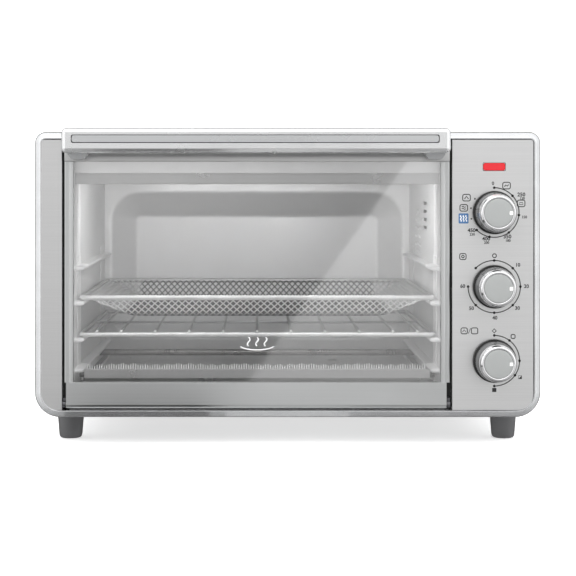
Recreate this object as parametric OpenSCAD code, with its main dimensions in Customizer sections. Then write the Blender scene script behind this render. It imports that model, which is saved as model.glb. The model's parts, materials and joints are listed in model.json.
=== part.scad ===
/* [Body] */
// Width over the two side panels
body_w = 480; // [470:1:500]
// Height of the body without its feet
body_h = 271; // [271:1:285]
// Depth from the front face to the rear edge of the wrap
body_d = 335; // [330:1:350]
// Height of the feet
foot_h = 25; // [20:1:27]
// How far the rear cover bulges past the wrap
rear_bulge = 36; // [34:1:60]
// Radius of the two top corners
top_r = 11; // [8:1:14]
// Radius of the two bottom corners
bottom_r = 24; // [20:1:26]
// Thickness of the steel sheet
sheet = 1; // [0.8:0.1:1.2]
// Depth of the embossed side panels
emboss = 1.3; // [0.8:0.1:2]

/* [Door] */
// Width of the door
door_w = 364; // [360:1:366]
// Sideways place of the door and the cavity
oven_x = -29; // [-30:0.5:-28]
// Height of the bottom rail of the door
bottom_rail_h = 25; // [20:1:28]
// Thickness of the door glass
glass_t = 4; // [3:0.5:4]

/* [Handle] */
// Length of the handle
handle_w = 361.6; // [330:0.2:362]
// Height of the handle
handle_h = 23.6; // [20:0.2:24]
// How far the handle stands out of the front face
handle_out = 30; // [28:1:33]

/* [Controls] */
// Distance between two knobs
knob_pitch = 70; // [66:1:72]
// Radius of the skirt of a knob
knob_r = 20.4; // [18:0.2:22]
// How far a knob stands out of the front face
knob_out = 28; // [24:1:30]

/* [Cavity] */
// Inside width of the cavity
cavity_w = 348; // [346:1:349]
// Depth from the front face to the back wall
cavity_d = 312; // [306:1:316]
// Depth of the pressed recess in the back wall
recess_d = 35; // [20:1:36]
// Thickness of the cavity walls
liner_t = 1; // [0.8:0.1:1]

/* [Rack and basket] */
// Front to back depth of the rack and the basket
rack_d = 266; // [255:1:270]
// Distance between two wires of the rack
wire_pitch = 32.6; // [30:0.1:34]
// Depth of the mesh tub of the basket
tub_h = 20; // [15:1:22]

/* [Hidden] */
$fn = 48;

// Front to back, the body is centred: y = 0 is halfway between the handle and the rear cover.
front_y = (handle_out - body_d - rear_bulge) / 2;

// Outline of the body, seen from the front
half_w = body_w / 2 - emboss;
low_z = foot_h;
high_z = foot_h + body_h;

base_w = 2 * (half_w - bottom_r) - 0.6;

// Depths behind the front face
bezel_t = 12;
plate_y = 1;
plate_t = 2;
frame_y = bezel_t;
frame_t = 1.5;

// Window in the bezel
window_l = -half_w + 5.2;
window_r = half_w - 6.4;
window_low = low_z + 7.5;
window_high = high_z - 7.7;

// Door
door_l = oven_x - door_w / 2;
door_r = oven_x + door_w / 2;
door_gap = 2.4;
rail_l = door_l + 1.5;
rail_r = door_r - 3;
door_front = 1;
door_back = 11;
hinge_r = 4;
hinge_y = door_front + hinge_r;
door_low = window_low + 1.1;
hinge_z = door_low + hinge_r;
door_high = window_high - 1.3;
rail_top = door_low + bottom_rail_h;
top_rail_low = door_high - 19.5;
glass_y = 3;
glass_bite = 4;
stile_w = 8;
slot_play = 0.15;
pin_r = 1.5;
ear_t = 3;

// Handle
handle_x = oven_x - 1;
handle_z = high_z - 9.2;
handle_d = 16;
handle_back = -handle_out + handle_d;
handle_edge = 3.6;
insert_l = handle_x - handle_w / 2 + 10;
insert_r = handle_x + handle_w / 2 - 11.4;
insert_low = handle_z - 2;
insert_h = 6.7;
bracket_x = [handle_x - 167, handle_x + 168];
bracket_screw = 5;

// Controls
knob_x = 195;
knob_z = [for (i = [0:2]) low_z + 54.3 + i * knob_pitch];
lamp_z = high_z - 33.5;
lamp_w = 21;
lamp_h = 7.3;
shaft_r = 3;
run_gap = 0.05;
panel_l = door_r + door_gap;
bracket_y = 24;
mech_y = bracket_y + 1.2;
mech_d = 30;

// Cavity
cav_l = oven_x - cavity_w / 2;
cav_r = oven_x + cavity_w / 2;
cav_low = low_z + 26.5;
cav_high = high_z - 39;
cav_front = frame_y + frame_t;
mouth_high = cav_high - 0.5;
recess_out = [cav_l + 6, cav_r - 6, cav_low + 16, cav_high - 20];
recess_in = [cav_l + 37, cav_r - 35, cav_low + 36, cav_high - 50];
recess_r = 34;

// Heating elements: depth and height of each tube
heater_r = 3.5;
upper_z = high_z - 44.8;
lower_z = low_z + 35;
front_heater_y = 60;
rear_heater_y = 250;
heater_end = 7;

// Ledges on the side walls, from the lowest to the highest
ledge_z = [low_z + 45, low_z + 74.4, low_z + 109.3, low_z + 143];
ledge_w = 8.5;
ledge_t = 1.2;
ledge_front = 18;
ledge_back = 300;
body_play = 0.3;

// Rack and basket
rod_r = 2.1;
wire_r = 1.3;
rack_front = 22;
rack_l = cav_l + 3;
rack_r = cav_r - 3;
rack_z = ledge_z[1] + body_play + rod_r;
rim_r = 2.4;
basket_z = ledge_z[2] + body_play + rim_r;
tub_front = rack_front + 2 * rim_r;
tub_back = rack_front + rack_d - 2 * rim_r;
tub_slope = 44;
tub_floor_front = tub_front + 24;
tub_floor_back = tub_back - 24;

// Crumb tray
tray_l = oven_x - 165;
tray_r = oven_x + 165;
tray_front = 16;
tray_back = 302;
tray_z = cav_low + 0.4;
tray_lip = low_z + 44.5;

// Convection fan, behind the right wall of the cavity
fan_y = 215;
fan_z = low_z + 165;
fan_r = 40;
fan_shaft_r = 2.5;
housing_r = 50;
housing_x = cav_r + liner_t;
housing_w = 22;
shield_x = housing_x + housing_w + 3;

// Feet and cord outlet
foot_x = 210;
foot_y = [45, 300];
foot_r = 13;
gland_x = 205;
gland_z = low_z + 30;
gland_r = 7;
cord_r = 3.8;

// ---------- helpers ----------

// Depths are counted from the front face inside this module
module from_front() translate([0, front_y, 0]) children();

// Box between two opposite corners
module block(a, b) translate(a) cube(b - a);

// Plate between two depths, drawn in X and Z
module y_plate(y0, y1) translate([0, y1, 0]) rotate([90, 0, 0]) linear_extrude(y1 - y0) children();

module x_rod(x0, x1, y, z, r) translate([x0, y, z]) rotate([0, 90, 0]) cylinder(r = r, h = x1 - x0);
module y_rod(x, y0, y1, z, r) translate([x, y1, z]) rotate([90, 0, 0]) cylinder(r = r, h = y1 - y0);
module z_rod(x, y, z0, z1, r) translate([x, y, z0]) cylinder(r = r, h = z1 - z0);

// Rectangle with one radius for the top corners and another for the bottom ones
module round_rect(l, r, low, high, rt, rb) {
  translate([l, low + rb]) square([r - l, high - low - rt - rb]);
  translate([l + rb, low]) square([r - l - 2 * rb, rb * 1.5]);
  translate([l + rt, high - rt * 1.5]) square([r - l - 2 * rt, rt * 1.5]);
  for (x = [l + rb, r - rb]) translate([x, low + rb]) circle(rb);
  for (x = [l + rt, r - rt]) translate([x, high - rt]) circle(rt);
}

// Outline of the body, made smaller by d all round
module body_outline(d) {
  round_rect(-half_w + d, half_w - d, low_z + d, high_z - d, top_r - d, bottom_r - d);
}

// The bezel is as wide as the embossed sides
module bezel_outline(d) {
  round_rect(-body_w / 2 + d, body_w / 2 - d, low_z + d, high_z - d, top_r - d, bottom_r - d);
}

// Slot with round ends, drawn in a plane, running along the first axis
module slot2d(x, z, length, width) {
  translate([x - (length - width) / 2, z - width / 2]) square([length - width, width]);
  for (s = [-1, 1]) translate([x + s * (length - width) / 2, z]) circle(width / 2);
}

// Bound loom of wires through a list of points; each stretch runs along one axis
module loom(points, w) for (i = [0:len(points) - 2]) {
  a = points[i];
  b = points[i + 1];
  block([for (k = [0:2]) min(a[k], b[k]) - w / 2], [for (k = [0:2]) max(a[k], b[k]) + w / 2]);
}

// ---------- casing ----------

module outer_shell() color("silver") from_front() {
  side_low = low_z + 43;
  side_high = high_z - 21;
  side_front = bezel_t + 14;
  side_back = body_d - 18;
  difference() {
    union() {
      difference() {
        y_plate(bezel_t, body_d) body_outline(0);
        y_plate(bezel_t - 1, body_d - sheet) body_outline(sheet);
        y_plate(body_d - 2 * sheet, body_d + 1) body_outline(9);
        block([-190, bezel_t - 1, low_z - 1], [190, body_d + 1, low_z + 12]);
      }
      for (s = [-1, 1]) translate([s * (half_w + emboss / 2), 0, 0])
        block([-emboss / 2, side_front, side_low], [emboss / 2, side_back, side_high]);
    }
    // the panels are pressed out, so they are hollow behind
    for (s = [-1, 1]) translate([s * (half_w - sheet / 2), 0, 0])
      block([-sheet / 2 - 0.2, side_front + sheet, side_low + sheet],
            [s > 0 ? emboss + sheet / 2 - sheet : sheet / 2 + 0.2, side_back - sheet,
                side_high - sheet]);
    // air slots beside the controls
    for (i = [0:7]) block([half_w - 4, 200, low_z + 70 + i * 16],
        [half_w + 6, 260, low_z + 74 + i * 16]);
    // feet and rear cover screws
    for (x = [-foot_x, foot_x], y = foot_y) z_rod(x, y, low_z - 1, low_z + 2, 2.2);
    for (p = case_points) y_rod(p[0], body_d - 4, body_d + 2, p[1], 1.7);
  }
}

case_points = [for (x = [-half_w + 5, half_w - 5], z = [low_z + 60, low_z + 210]) [x, z],
               for (x = [-150, 150]) [x, high_z - 5]];

module base_plate() color("gainsboro") from_front() difference() {
  union() {
    block([-base_w / 2, bezel_t + 4, low_z + sheet], [base_w / 2, body_d - 3, low_z + 2 * sheet]);
    block([-base_w / 2 + 6, bezel_t + 4, low_z + sheet], [base_w / 2 - 6, bezel_t + 5, low_z + 12]);
  }
  for (i = [-5:5], j = [0:1]) translate([i * 30, 90 + j * 120, low_z - 1]) linear_extrude(5)
      slot2d(0, 0, 22, 4);
  for (x = [-foot_x, foot_x], y = foot_y) z_rod(x, y, low_z, low_z + 4, 2.2);
}

// Contour of the bulge at its root and at its crown: left, right, low, high
bulge_out = [oven_x - 178, oven_x + 176, low_z + 30, low_z + 222];
bulge_in = [oven_x - 160, oven_x + 158, low_z + 44, low_z + 208];

// Box with slanted sides between two contours
module bulge(d, depth) hull() {
  y_plate(body_d, body_d + 0.5)
      round_rect(bulge_out[0] + d, bulge_out[1] - d, bulge_out[2] + d, bulge_out[3] - d, 20, 20,
      $fn = 32);
  y_plate(body_d + depth - 0.5, body_d + depth)
      round_rect(bulge_in[0] + d, bulge_in[1] - d, bulge_in[2] + d, bulge_in[3] - d, 20, 20,
      $fn = 32);
}

module rear_cover() color("silver") from_front() difference() {
  union() {
    y_plate(body_d, body_d + sheet) body_outline(0.4);
    bulge(0, rear_bulge);
  }
  bulge(sheet, rear_bulge - sheet);
  translate([0, -0.4, 0]) y_plate(body_d, body_d + 1)
      round_rect(bulge_out[0] + sheet, bulge_out[1] - sheet,
    bulge_out[2] + sheet, bulge_out[3] - sheet, 20, 20);
  for (i = [0:5], x = [184, 214]) y_plate(body_d - 1, body_d + 3)
      slot2d(x, low_z + 90 + i * 20, 22, 4);
  for (i = [-6:6]) y_plate(body_d + rear_bulge - 3, body_d + rear_bulge + 1)
      translate([oven_x + i * 20, low_z + 190]) rotate(90) slot2d(0, 0, 22, 4);
  for (p = case_points) y_rod(p[0], body_d - 2, body_d + 3, p[1], 1.7);
  y_rod(gland_x, body_d - 2, body_d + 3, gland_z, gland_r + 0.1);
}

module front_bezel() color("silver") from_front() difference() {
  hull() {
    y_plate(0, 0.4) bezel_outline(5, $fn = 40);
    y_plate(5.5, bezel_t) bezel_outline(0, $fn = 40);
  }
  y_plate(-1, plate_y + plate_t) round_rect(window_l, window_r, window_low, window_high, 3, 15);
  block([door_l - door_gap, -1, window_low], [panel_l, bezel_t + 1, window_high]);
  block([panel_l + 10, 2, window_low + 12], [window_r - 8, bezel_t + 1, window_high - 8]);
  block([window_l + 3, 2, window_low + 14], [door_l - door_gap - 4, bezel_t + 1, window_high - 8]);
}

// Brushed strip left of the door
module left_trim_plate() color("lightgray") from_front() y_plate(plate_y, plate_y + plate_t)
    intersection() {
  round_rect(window_l + 0.2, window_r, window_low + 0.2, window_high - 0.2, 2.8, 14.8);
  translate([window_l, 0]) square([door_l - door_gap - window_l, high_z]);
}

module control_panel() color("gainsboro") from_front() difference() {
  y_plate(plate_y, plate_y + plate_t) intersection() {
    round_rect(window_l, window_r - 0.2, window_low + 0.2, window_high - 0.2, 2.8, 14.8);
    translate([panel_l, 0]) square([window_r - panel_l, high_z]);
  }
  for (z = knob_z) y_rod(knob_x, 0, 4, z, shaft_r + 1.2);
  y_plate(0, 4) round_rect(knob_x - lamp_w / 2, knob_x + lamp_w / 2, lamp_z - lamp_h / 2,
      lamp_z + lamp_h / 2, 2.5, 2.5);
}

module indicator_lens() color("red") from_front() {
  y_plate(plate_y - 0.7, plate_y + plate_t)
      round_rect(knob_x - lamp_w / 2 + 0.1, knob_x + lamp_w / 2 - 0.1,
    lamp_z - lamp_h / 2 + 0.1, lamp_z + lamp_h / 2 - 0.1, 2.4, 2.4);
  y_plate(plate_y + plate_t, plate_y + plate_t + 1)
      round_rect(knob_x - lamp_w / 2 - 2, knob_x + lamp_w / 2 + 2,
    lamp_z - lamp_h / 2 - 2, lamp_z + lamp_h / 2 + 2, 3, 3);
}

module indicator_lamp() color("orange") from_front() {
  x_rod(knob_x - 8, knob_x + 8, 8, lamp_z, 2.6);
  for (s = [-1, 1]) x_rod(knob_x + s * 10 - 3, knob_x + s * 10 + 3, 8, lamp_z, 1.2);
}

module feet() color("dimgray") from_front() for (x = [-foot_x, foot_x], y = foot_y)
    translate([x, y, 0])
  difference() {
    rotate_extrude() polygon([[0, 0], [8.6, 0], [10.4, 1], [11.2, 3], [foot_r, foot_h - 1],
        [foot_r, foot_h], [0, foot_h]]);
    z_rod(0, 0, 14, foot_h + 1, 2.05);
    z_rod(0, 0, -1, 5, 5);
  }

module foot_screws() color("gray") from_front() for (x = [-foot_x, foot_x], y = foot_y) {
  z_rod(x, y, 16, low_z + 2 * sheet, 2);
  z_rod(x, y, low_z + 2 * sheet, low_z + 2 * sheet + 2.4, 4);
}

module case_screws() color("gray") from_front() for (p = case_points) {
  y_rod(p[0], body_d - 5, body_d + sheet, p[1], 1.5);
  y_rod(p[0], body_d + sheet, body_d + sheet + 2, p[1], 3.2);
}

module cord_gland() color("black") from_front() difference() {
  union() {
    y_rod(gland_x, body_d - 10, body_d + sheet, gland_z, gland_r);
    y_rod(gland_x, body_d + sheet, body_d + sheet + 8, gland_z, gland_r + 2.5);
    y_rod(gland_x, body_d - 10, body_d - 2, gland_z, gland_r + 1.5);
  }
  y_rod(gland_x, body_d - 11, body_d + 10, gland_z, cord_r);
}

// ---------- cavity ----------

heater_points = [[front_heater_y, upper_z], [rear_heater_y, upper_z], [front_heater_y, lower_z],
    [rear_heater_y, lower_z]];

module cavity_top() color("gainsboro") from_front() {
  block([cav_l - liner_t, cav_front, cav_high], [cav_r + liner_t, cavity_d, cav_high + liner_t]);
  for (y = [120, 200]) block([cav_l + 40, y, cav_high + liner_t],
      [cav_r - 40, y + 4, cav_high + liner_t + 3]);
}

// Side wall of the cavity between x0 and x0 + liner_t
module side_wall(x0) difference() {
  block([x0, cav_front, cav_low], [x0 + liner_t, cavity_d, cav_high]);
  for (p = heater_points) x_rod(x0 - 1, x0 + liner_t + 1, p[0], p[1], heater_r + 0.8);
}

module cavity_left_wall() color("gainsboro") from_front() side_wall(cav_l - liner_t);

// The right wall has the air outlet slots and the intake of the fan
module cavity_right_wall() color("gainsboro") from_front() difference() {
  side_wall(cav_r);
  for (i = [0:3]) block([cav_r - 1, 130, low_z + 174 + i * 8.4],
      [cav_r + 3, 162, low_z + 177.5 + i * 8.4]);
  for (ring = [1:3], a = [0:60 / ring:359])
    x_rod(cav_r - 1, cav_r + 3, fan_y + 9 * ring * cos(a), fan_z + 9 * ring * sin(a), 2.2);
}

module cavity_back_wall() color("gainsboro") from_front() difference() {
  union() {
    block([cav_l - liner_t, cavity_d, cav_low - liner_t],
        [cav_r + liner_t, cavity_d + liner_t, cav_high + liner_t]);
    recess(0, recess_d);
  }
  recess(liner_t, recess_d - liner_t);
  y_plate(cavity_d - 1, cavity_d + 1)
      round_rect(recess_out[0] + 1, recess_out[1] - 1, recess_out[2] + 1, recess_out[3] - 1,
      recess_r - 1, recess_r - 1);
}

// Pressed recess with slanted sides
module recess(d, depth) hull() {
  y_plate(cavity_d, cavity_d + 0.5)
    round_rect(recess_out[0] + d, recess_out[1] - d, recess_out[2] + d, recess_out[3] - d,
        recess_r - d, recess_r - d, $fn = 40);
  y_plate(cavity_d + depth - 0.5, cavity_d + depth)
    round_rect(recess_in[0] + d, recess_in[1] - d, recess_in[2] + d, recess_in[3] - d, 16, 16,
        $fn = 40);
}

module cavity_floor() color("darkgray") from_front()
  block([cav_l - liner_t, cav_front, cav_low - liner_t], [cav_r + liner_t, cavity_d, cav_low]);

// Plate round the mouth of the cavity, behind the door
module cavity_front_frame() color("lightgray") from_front() difference() {
  y_plate(frame_y, frame_y + frame_t) intersection() {
    body_outline(1.4);
    translate([-half_w, low_z]) square([half_w + panel_l + 6, body_h]);
  }
  block([cav_l, frame_y - 1, cav_low], [cav_r, frame_y + 3, mouth_high]);
  for (e = ear_x) block([e - 0.3, frame_y - 1, door_low - 1.2],
      [e + ear_t + 0.3, frame_y + 3, hinge_z + 6.6]);
}

// Rail that hides the upper heating elements
module upper_heater_guard() color("lightgray") from_front() {
  block([cav_l + 0.1, 18, cav_high - 11], [cav_r - 0.1, 19, cav_high]);
  block([cav_l + 0.1, 19, cav_high - 11], [cav_r - 0.1, 27, cav_high - 10]);
}

module heater(p) x_rod(cav_l - heater_end, cav_r + heater_end, p[0], p[1], heater_r);

module upper_front_element() color("dimgray") from_front() heater(heater_points[0]);
module upper_rear_element() color("dimgray") from_front() heater(heater_points[1]);
module lower_front_element() color("dimgray") from_front() heater(heater_points[2]);
module lower_rear_element() color("dimgray") from_front() heater(heater_points[3]);

// Ceramic bushes that hold the ends of the elements, outside the walls
module element_insulators() color("white") from_front() for (p = heater_points, s = [-1, 1]) {
  x0 = s < 0 ? cav_l - liner_t - 5 : cav_r + liner_t;
  difference() {
    x_rod(x0, x0 + 5, p[0], p[1], 6);
    x_rod(x0 - 1, x0 + 6, p[0], p[1], heater_r + 0.05);
  }
}

// Strip with four ledges that carry the rack and the basket
module runner(s) {
  wall = s < 0 ? cav_l : cav_r;
  strip = s < 0 ? [wall, wall + 0.8] : [wall - 0.8, wall];
  ledge = s < 0 ? [wall, wall + ledge_w] : [wall - ledge_w, wall];
  for (y = [40, 262]) block([strip[0], y, ledge_z[0] - 6], [strip[1], y + 24, ledge_z[3] + 8]);
  for (z = ledge_z) {
    block([strip[0], ledge_front, z - 4], [strip[1], ledge_back, z]);
    block([ledge[0], ledge_front, z - ledge_t], [ledge[1], ledge_back, z]);
  }
}

module left_runner() color("whitesmoke") from_front() runner(-1);
module right_runner() color("whitesmoke") from_front() runner(1);

// ---------- hinges ----------

ear_x = [rail_l - 0.6 - ear_t, rail_r + 0.6];

module hinge_brackets() color("dimgray") from_front() for (i = [0, 1]) {
  flange = i == 0 ? [ear_x[0] - 10, ear_x[0] + ear_t] : [ear_x[1], ear_x[1] + ear_t + 8];
  difference() {
    union() {
      block([ear_x[i], hinge_y, hinge_z - 3.4], [ear_x[i] + ear_t, cav_front, hinge_z + 6]);
      x_rod(ear_x[i], ear_x[i] + ear_t, hinge_y, hinge_z, 3.4);
      block([flange[0], cav_front, hinge_z - 3.4], [flange[1], cav_front + 1.5, hinge_z + 24]);
    }
    x_rod(ear_x[i] - 1, ear_x[i] + ear_t + 1, hinge_y, hinge_z, pin_r + run_gap);
  }
}

module hinge_pins() color("gray") from_front() {
  x_rod(ear_x[0] - 0.1, rail_l + 14, hinge_y, hinge_z, pin_r);
  x_rod(rail_r - 14, ear_x[1] + ear_t + 0.1, hinge_y, hinge_z, pin_r);
}

// ---------- controls behind the panel ----------

module control_bracket() color("gainsboro") from_front() difference() {
  union() {
    block([knob_x - 30, bracket_y, window_low + 8], [knob_x + 30, mech_y, window_high - 5]);
    for (z = [window_low + 8, window_high - 6.2])
        block([knob_x - 30, bezel_t, z], [knob_x + 30, mech_y, z + 1.2]);
  }
  for (z = knob_z) y_rod(knob_x, bracket_y - 1, mech_y + 1, z, 5.2);
}

// Square switch body with a threaded bush at the front and a bore for its shaft
module mechanism(z, w, h, d) difference() {
  union() {
    block([knob_x - w / 2, mech_y, z - h / 2], [knob_x + w / 2, mech_y + d, z + h / 2]);
    y_rod(knob_x, bracket_y - 7, mech_y + 1, z, 5);
    y_rod(knob_x, bracket_y - 3, bracket_y, z, 8);
    for (s = [-1, 1]) block([knob_x + s * w / 4 - 3, mech_y + d, z - 0.4],
        [knob_x + s * w / 4 + 3, mech_y + d + 7, z + 0.4]);
  }
  y_rod(knob_x, bracket_y - 8, mech_y + d - 6, z, shaft_r + run_gap);
}

module thermostat() color("tan") from_front() mechanism(knob_z[2], 30, 34, mech_d - 6);
module timer_mechanism() color("lightgray") from_front() mechanism(knob_z[1], 44, 46, mech_d);
module toast_selector() color("tan") from_front() mechanism(knob_z[0], 32, 32, mech_d - 4);

module heat_shield() color("gainsboro") from_front() difference() {
  block([shield_x, mech_y + 2, low_z + 2 * sheet], [shield_x + sheet, body_d - 12, high_z - 2]);
  x_rod(shield_x - 1, shield_x + 3, fan_y, fan_z, 6);
  for (i = [0:3]) block([shield_x - 1, 270, low_z + 60 + i * 40],
      [shield_x + 3, 300, low_z + 66 + i * 40]);
}

// Wires from the cord gland to the controls, and past the heat shield to the elements
module internal_wiring() color("white") from_front() {
  back = mech_y + mech_d + 12;
  trunk_x = gland_x + 22;
  loom([[gland_x, body_d - 14, gland_z], [trunk_x, body_d - 14, gland_z], [trunk_x, back, gland_z],
        [trunk_x, back, knob_z[2]]], 4);
  for (z = knob_z) loom([[trunk_x, back, z], [knob_x, back, z]], 3);
  loom([[trunk_x, 280, gland_z], [trunk_x, 280, fan_z], [trunk_x - 30, 280, fan_z]], 3);
}

// ---------- door ----------

module glass_slot(x0, x1, z0, z1)
  block([x0, glass_y - slot_play, z0], [x1, glass_y + glass_t + slot_play, z1]);

module door_glass() color([0.75, 0.8, 0.8, 0.35]) from_front()
  block([door_l + stile_w - glass_bite, glass_y, rail_top - glass_bite],
        [door_r - stile_w + glass_bite, glass_y + glass_t, top_rail_low + glass_bite]);

module door_top_rail() color("silver") from_front() difference() {
  block([door_l, door_front, top_rail_low], [door_r, door_back, door_high]);
  glass_slot(door_l + stile_w - glass_bite - 0.2, door_r - stile_w + glass_bite + 0.2,
      top_rail_low - 1, top_rail_low + glass_bite + 0.2);
  for (x = bracket_x, s = [-1, 1]) {
    y_rod(x + s * bracket_screw, 0, 12, handle_z - 5, 2.05);
    y_rod(x + s * bracket_screw, door_back - 3, 12, handle_z - 5, 3.8);
  }
}

module door_bottom_rail() color("silver") from_front() difference() {
  union() {
    block([rail_l, door_front, hinge_z], [rail_r, door_back, rail_top]);
    x_rod(rail_l, rail_r, hinge_y, hinge_z, hinge_r);
  }
  glass_slot(door_l + stile_w - glass_bite - 0.2, door_r - stile_w + glass_bite + 0.2,
      rail_top - glass_bite - 0.2, rail_top + 1);
  block([rail_l - 1, door_front + 1.5, hinge_z + 4],
      [rail_r + 1, door_back - 1.5, rail_top - glass_bite - 2]);
  x_rod(rail_l - 1, rail_r + 1, hinge_y, hinge_z, pin_r + 0.02);
}

// Prism between two heights
module z_plate(z0, z1) translate([0, 0, z0]) linear_extrude(z1 - z0) children();

// Side stile whose outer edge is at x = 0, with a slanted inner edge and a slot for the glass
module stile() difference() {
  z_plate(rail_top + 0.1, top_rail_low - 0.1)
    polygon([[0, door_front], [-4.6, door_front], [-stile_w, door_front + 1.6],
        [-stile_w, door_back], [0, door_back]]);
  glass_slot(-stile_w - 1, -stile_w + glass_bite + 0.2, 0, high_z);
}

module door_left_stile() color("darkgray") from_front() translate([door_l, 0, 0]) mirror([1, 0, 0])
    stile();
module door_right_stile() color("darkgray") from_front() translate([door_r, 0, 0]) stile();

module door_handle() color("silver") from_front() difference() {
  hull() {
    translate([handle_x, -handle_out + 0.2, handle_z])
        cube([handle_w - 2 * handle_edge, 0.4, handle_h - 2 * handle_edge], center = true);
    translate([handle_x, (handle_back - handle_out + handle_edge) / 2, handle_z])
        cube([handle_w, handle_d - handle_edge, handle_h], center = true);
  }
  y_plate(-handle_out - 1, -handle_out + 1.2)
      round_rect(insert_l, insert_r, insert_low, insert_low + insert_h, 2.4, 2.4);
  block([handle_x - handle_w / 2 + 30, -handle_out + 5, handle_z - 7],
      [handle_x + handle_w / 2 - 30, handle_back + 1, handle_z + 7]);
  for (x = bracket_x, s = [-1, 1])
      y_rod(x + s * bracket_screw, handle_back - 7, handle_back + 1, handle_z - 5, 1.6);
}

module handle_insert() color("gray") from_front() y_plate(-handle_out + 0.2, -handle_out + 1.2)
  round_rect(insert_l + 0.1, insert_r - 0.1, insert_low + 0.1, insert_low + insert_h - 0.1, 2.3, 2.3);

// Feet of the handle, wider at the top than at the bottom
module handle_brackets() color("gray") from_front() for (x = bracket_x) difference() {
  y_plate(handle_back, door_front)
      polygon([[x - 9, handle_z - 1], [x + 9, handle_z - 1], [x + 9, handle_z - 13],
    [x + 6, handle_z - 17], [x - 6, handle_z - 17], [x - 9, handle_z - 13]]);
  for (s = [-1, 1]) y_rod(x + s * bracket_screw, handle_back - 1, door_front + 1, handle_z - 5, 2.05);
}

module handle_screws() color("gray") from_front() for (x = bracket_x, s = [-1, 1]) {
  y_rod(x + s * bracket_screw, handle_back - 6, door_back - 3, handle_z - 5, 1.55);
  y_rod(x + s * bracket_screw, door_back - 3, door_back - 0.6, handle_z - 5, 3.6);
}

// ---------- knobs ----------

// Turned body with a skirt, a recess for the face and a bore for the shaft
module knob(z) translate([knob_x, 0, z]) rotate([90, 0, 0]) difference() {
  rotate_extrude() polygon([[shaft_r + 0.02, 2], [shaft_r + 0.02, knob_out - 6], [0, knob_out - 6],
      [0, knob_out - 1.4],
    [13.4, knob_out - 1.4], [13.4, knob_out], [15.9, knob_out], [16.3, knob_out - 0.6],
        [17.6, knob_out - 5],
    [18.6, knob_out - 12], [19, 5], [knob_r, 4.4], [knob_r, -0.5], [17, -0.5], [16, 2]]);
}

module knob_face(z) translate([knob_x, 0, z]) {
  y_rod(0, -knob_out + 0.2, -knob_out + 1.4, 0, 13.3);
  block([10, -knob_out - 0.1, -1.6], [13.2, -knob_out + 0.3, 1.6]);
}

module shaft(z) y_rod(knob_x, -knob_out + 6, mech_y + 16, z, shaft_r);

module temperature_knob() color("silver") from_front() knob(knob_z[2]);
module temperature_knob_face() color("gainsboro") from_front() knob_face(knob_z[2]);
module temperature_shaft() color("gray") from_front() shaft(knob_z[2]);
module timer_knob() color("silver") from_front() knob(knob_z[1]);
module timer_knob_face() color("gainsboro") from_front() knob_face(knob_z[1]);
module timer_shaft() color("gray") from_front() shaft(knob_z[1]);
module toast_knob() color("silver") from_front() knob(knob_z[0]);
module toast_knob_face() color("gainsboro") from_front() knob_face(knob_z[0]);
module toast_shaft() color("gray") from_front() shaft(knob_z[0]);

// ---------- convection fan ----------

motor_x = shield_x + sheet + 1;

module fan_motor() color("dimgray") from_front() difference() {
  union() {
    x_rod(motor_x, motor_x + 34, fan_y, fan_z, 22);
    x_rod(motor_x + 34, motor_x + 38, fan_y, fan_z, 8);
    for (s = [-1, 1]) block([motor_x, fan_y + s * 26 - 8, fan_z - 5],
        [motor_x + 2, fan_y + s * 26 + 8, fan_z + 5]);
  }
  x_rod(motor_x - 1, motor_x + 30, fan_y, fan_z, fan_shaft_r + run_gap);
}

module fan_housing() color("gainsboro") from_front() difference() {
  x_rod(housing_x, housing_x + housing_w, fan_y, fan_z, housing_r);
  x_rod(housing_x - 1, housing_x + housing_w - 1, fan_y, fan_z, housing_r - 1);
  x_rod(housing_x, housing_x + housing_w + 1, fan_y, fan_z, 6);
  block([housing_x - 1, fan_y - housing_r - 1, fan_z - 14],
      [housing_x + housing_w - 1, fan_y - housing_r + 8, fan_z + 14]);
}

module fan_impeller() color("silver") from_front() translate([housing_x + 3, fan_y, fan_z])
    difference() {
  union() {
    x_rod(12, 13, 0, 0, fan_r);
    x_rod(4, 15, 0, 0, 6);
    for (a = [0:45:315]) rotate([a, 0, 0]) block([1, -0.5, 12], [12.4, 0.5, fan_r - 1]);
  }
  x_rod(-1, 16, 0, 0, fan_shaft_r + 0.02);
}

module fan_shaft() color("gray") from_front()
    x_rod(housing_x + 5, motor_x + 28, fan_y, fan_z, fan_shaft_r);

// ---------- rack, basket and tray ----------

// Rectangular loop of round rod with round corners, flat at height z
module rod_loop(z, r, corner) {
  l = rack_l + r;
  rr = rack_r - r;
  f = rack_front + r;
  b = rack_front + rack_d - r;
  x_rod(l + corner, rr - corner, f, z, r);
  x_rod(l + corner, rr - corner, b, z, r);
  y_rod(l, f + corner, b - corner, z, r);
  y_rod(rr, f + corner, b - corner, z, r);
  for (c = [[l + corner, f + corner, 180], [rr - corner, f + corner, 270],
      [rr - corner, b - corner, 0], [l + corner, b - corner, 90]])
    translate([c[0], c[1], z]) rotate(c[2]) rotate_extrude(angle = 90) translate([corner, 0])
        circle(r);
}

module wire_rack() color("silver") from_front() {
  top = rack_z + rod_r + wire_r - 0.4;
  rod_loop(rack_z, rod_r, 4);
  for (i = [-4:4]) y_rod(oven_x + i * wire_pitch, rack_front - 0.6, rack_front + rack_d + 0.6, top,
      wire_r);
  for (s = [-1, 1]) y_rod(oven_x + s * 153.5, rack_front - 0.6, rack_front + rack_d + 0.6, top,
      wire_r);
  x_rod(rack_l + rod_r, rack_r - rod_r, rack_front + rack_d / 2, rack_z, wire_r);
  for (s = [-1, 1]) y_rod(oven_x + s * 153.5, rack_front + rack_d / 2 - 4,
      rack_front + rack_d / 2 + 4, rack_z + 0.8, wire_r);
}

module basket_frame() color("silver") from_front() rod_loop(basket_z, rim_r, 4.5);

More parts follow.
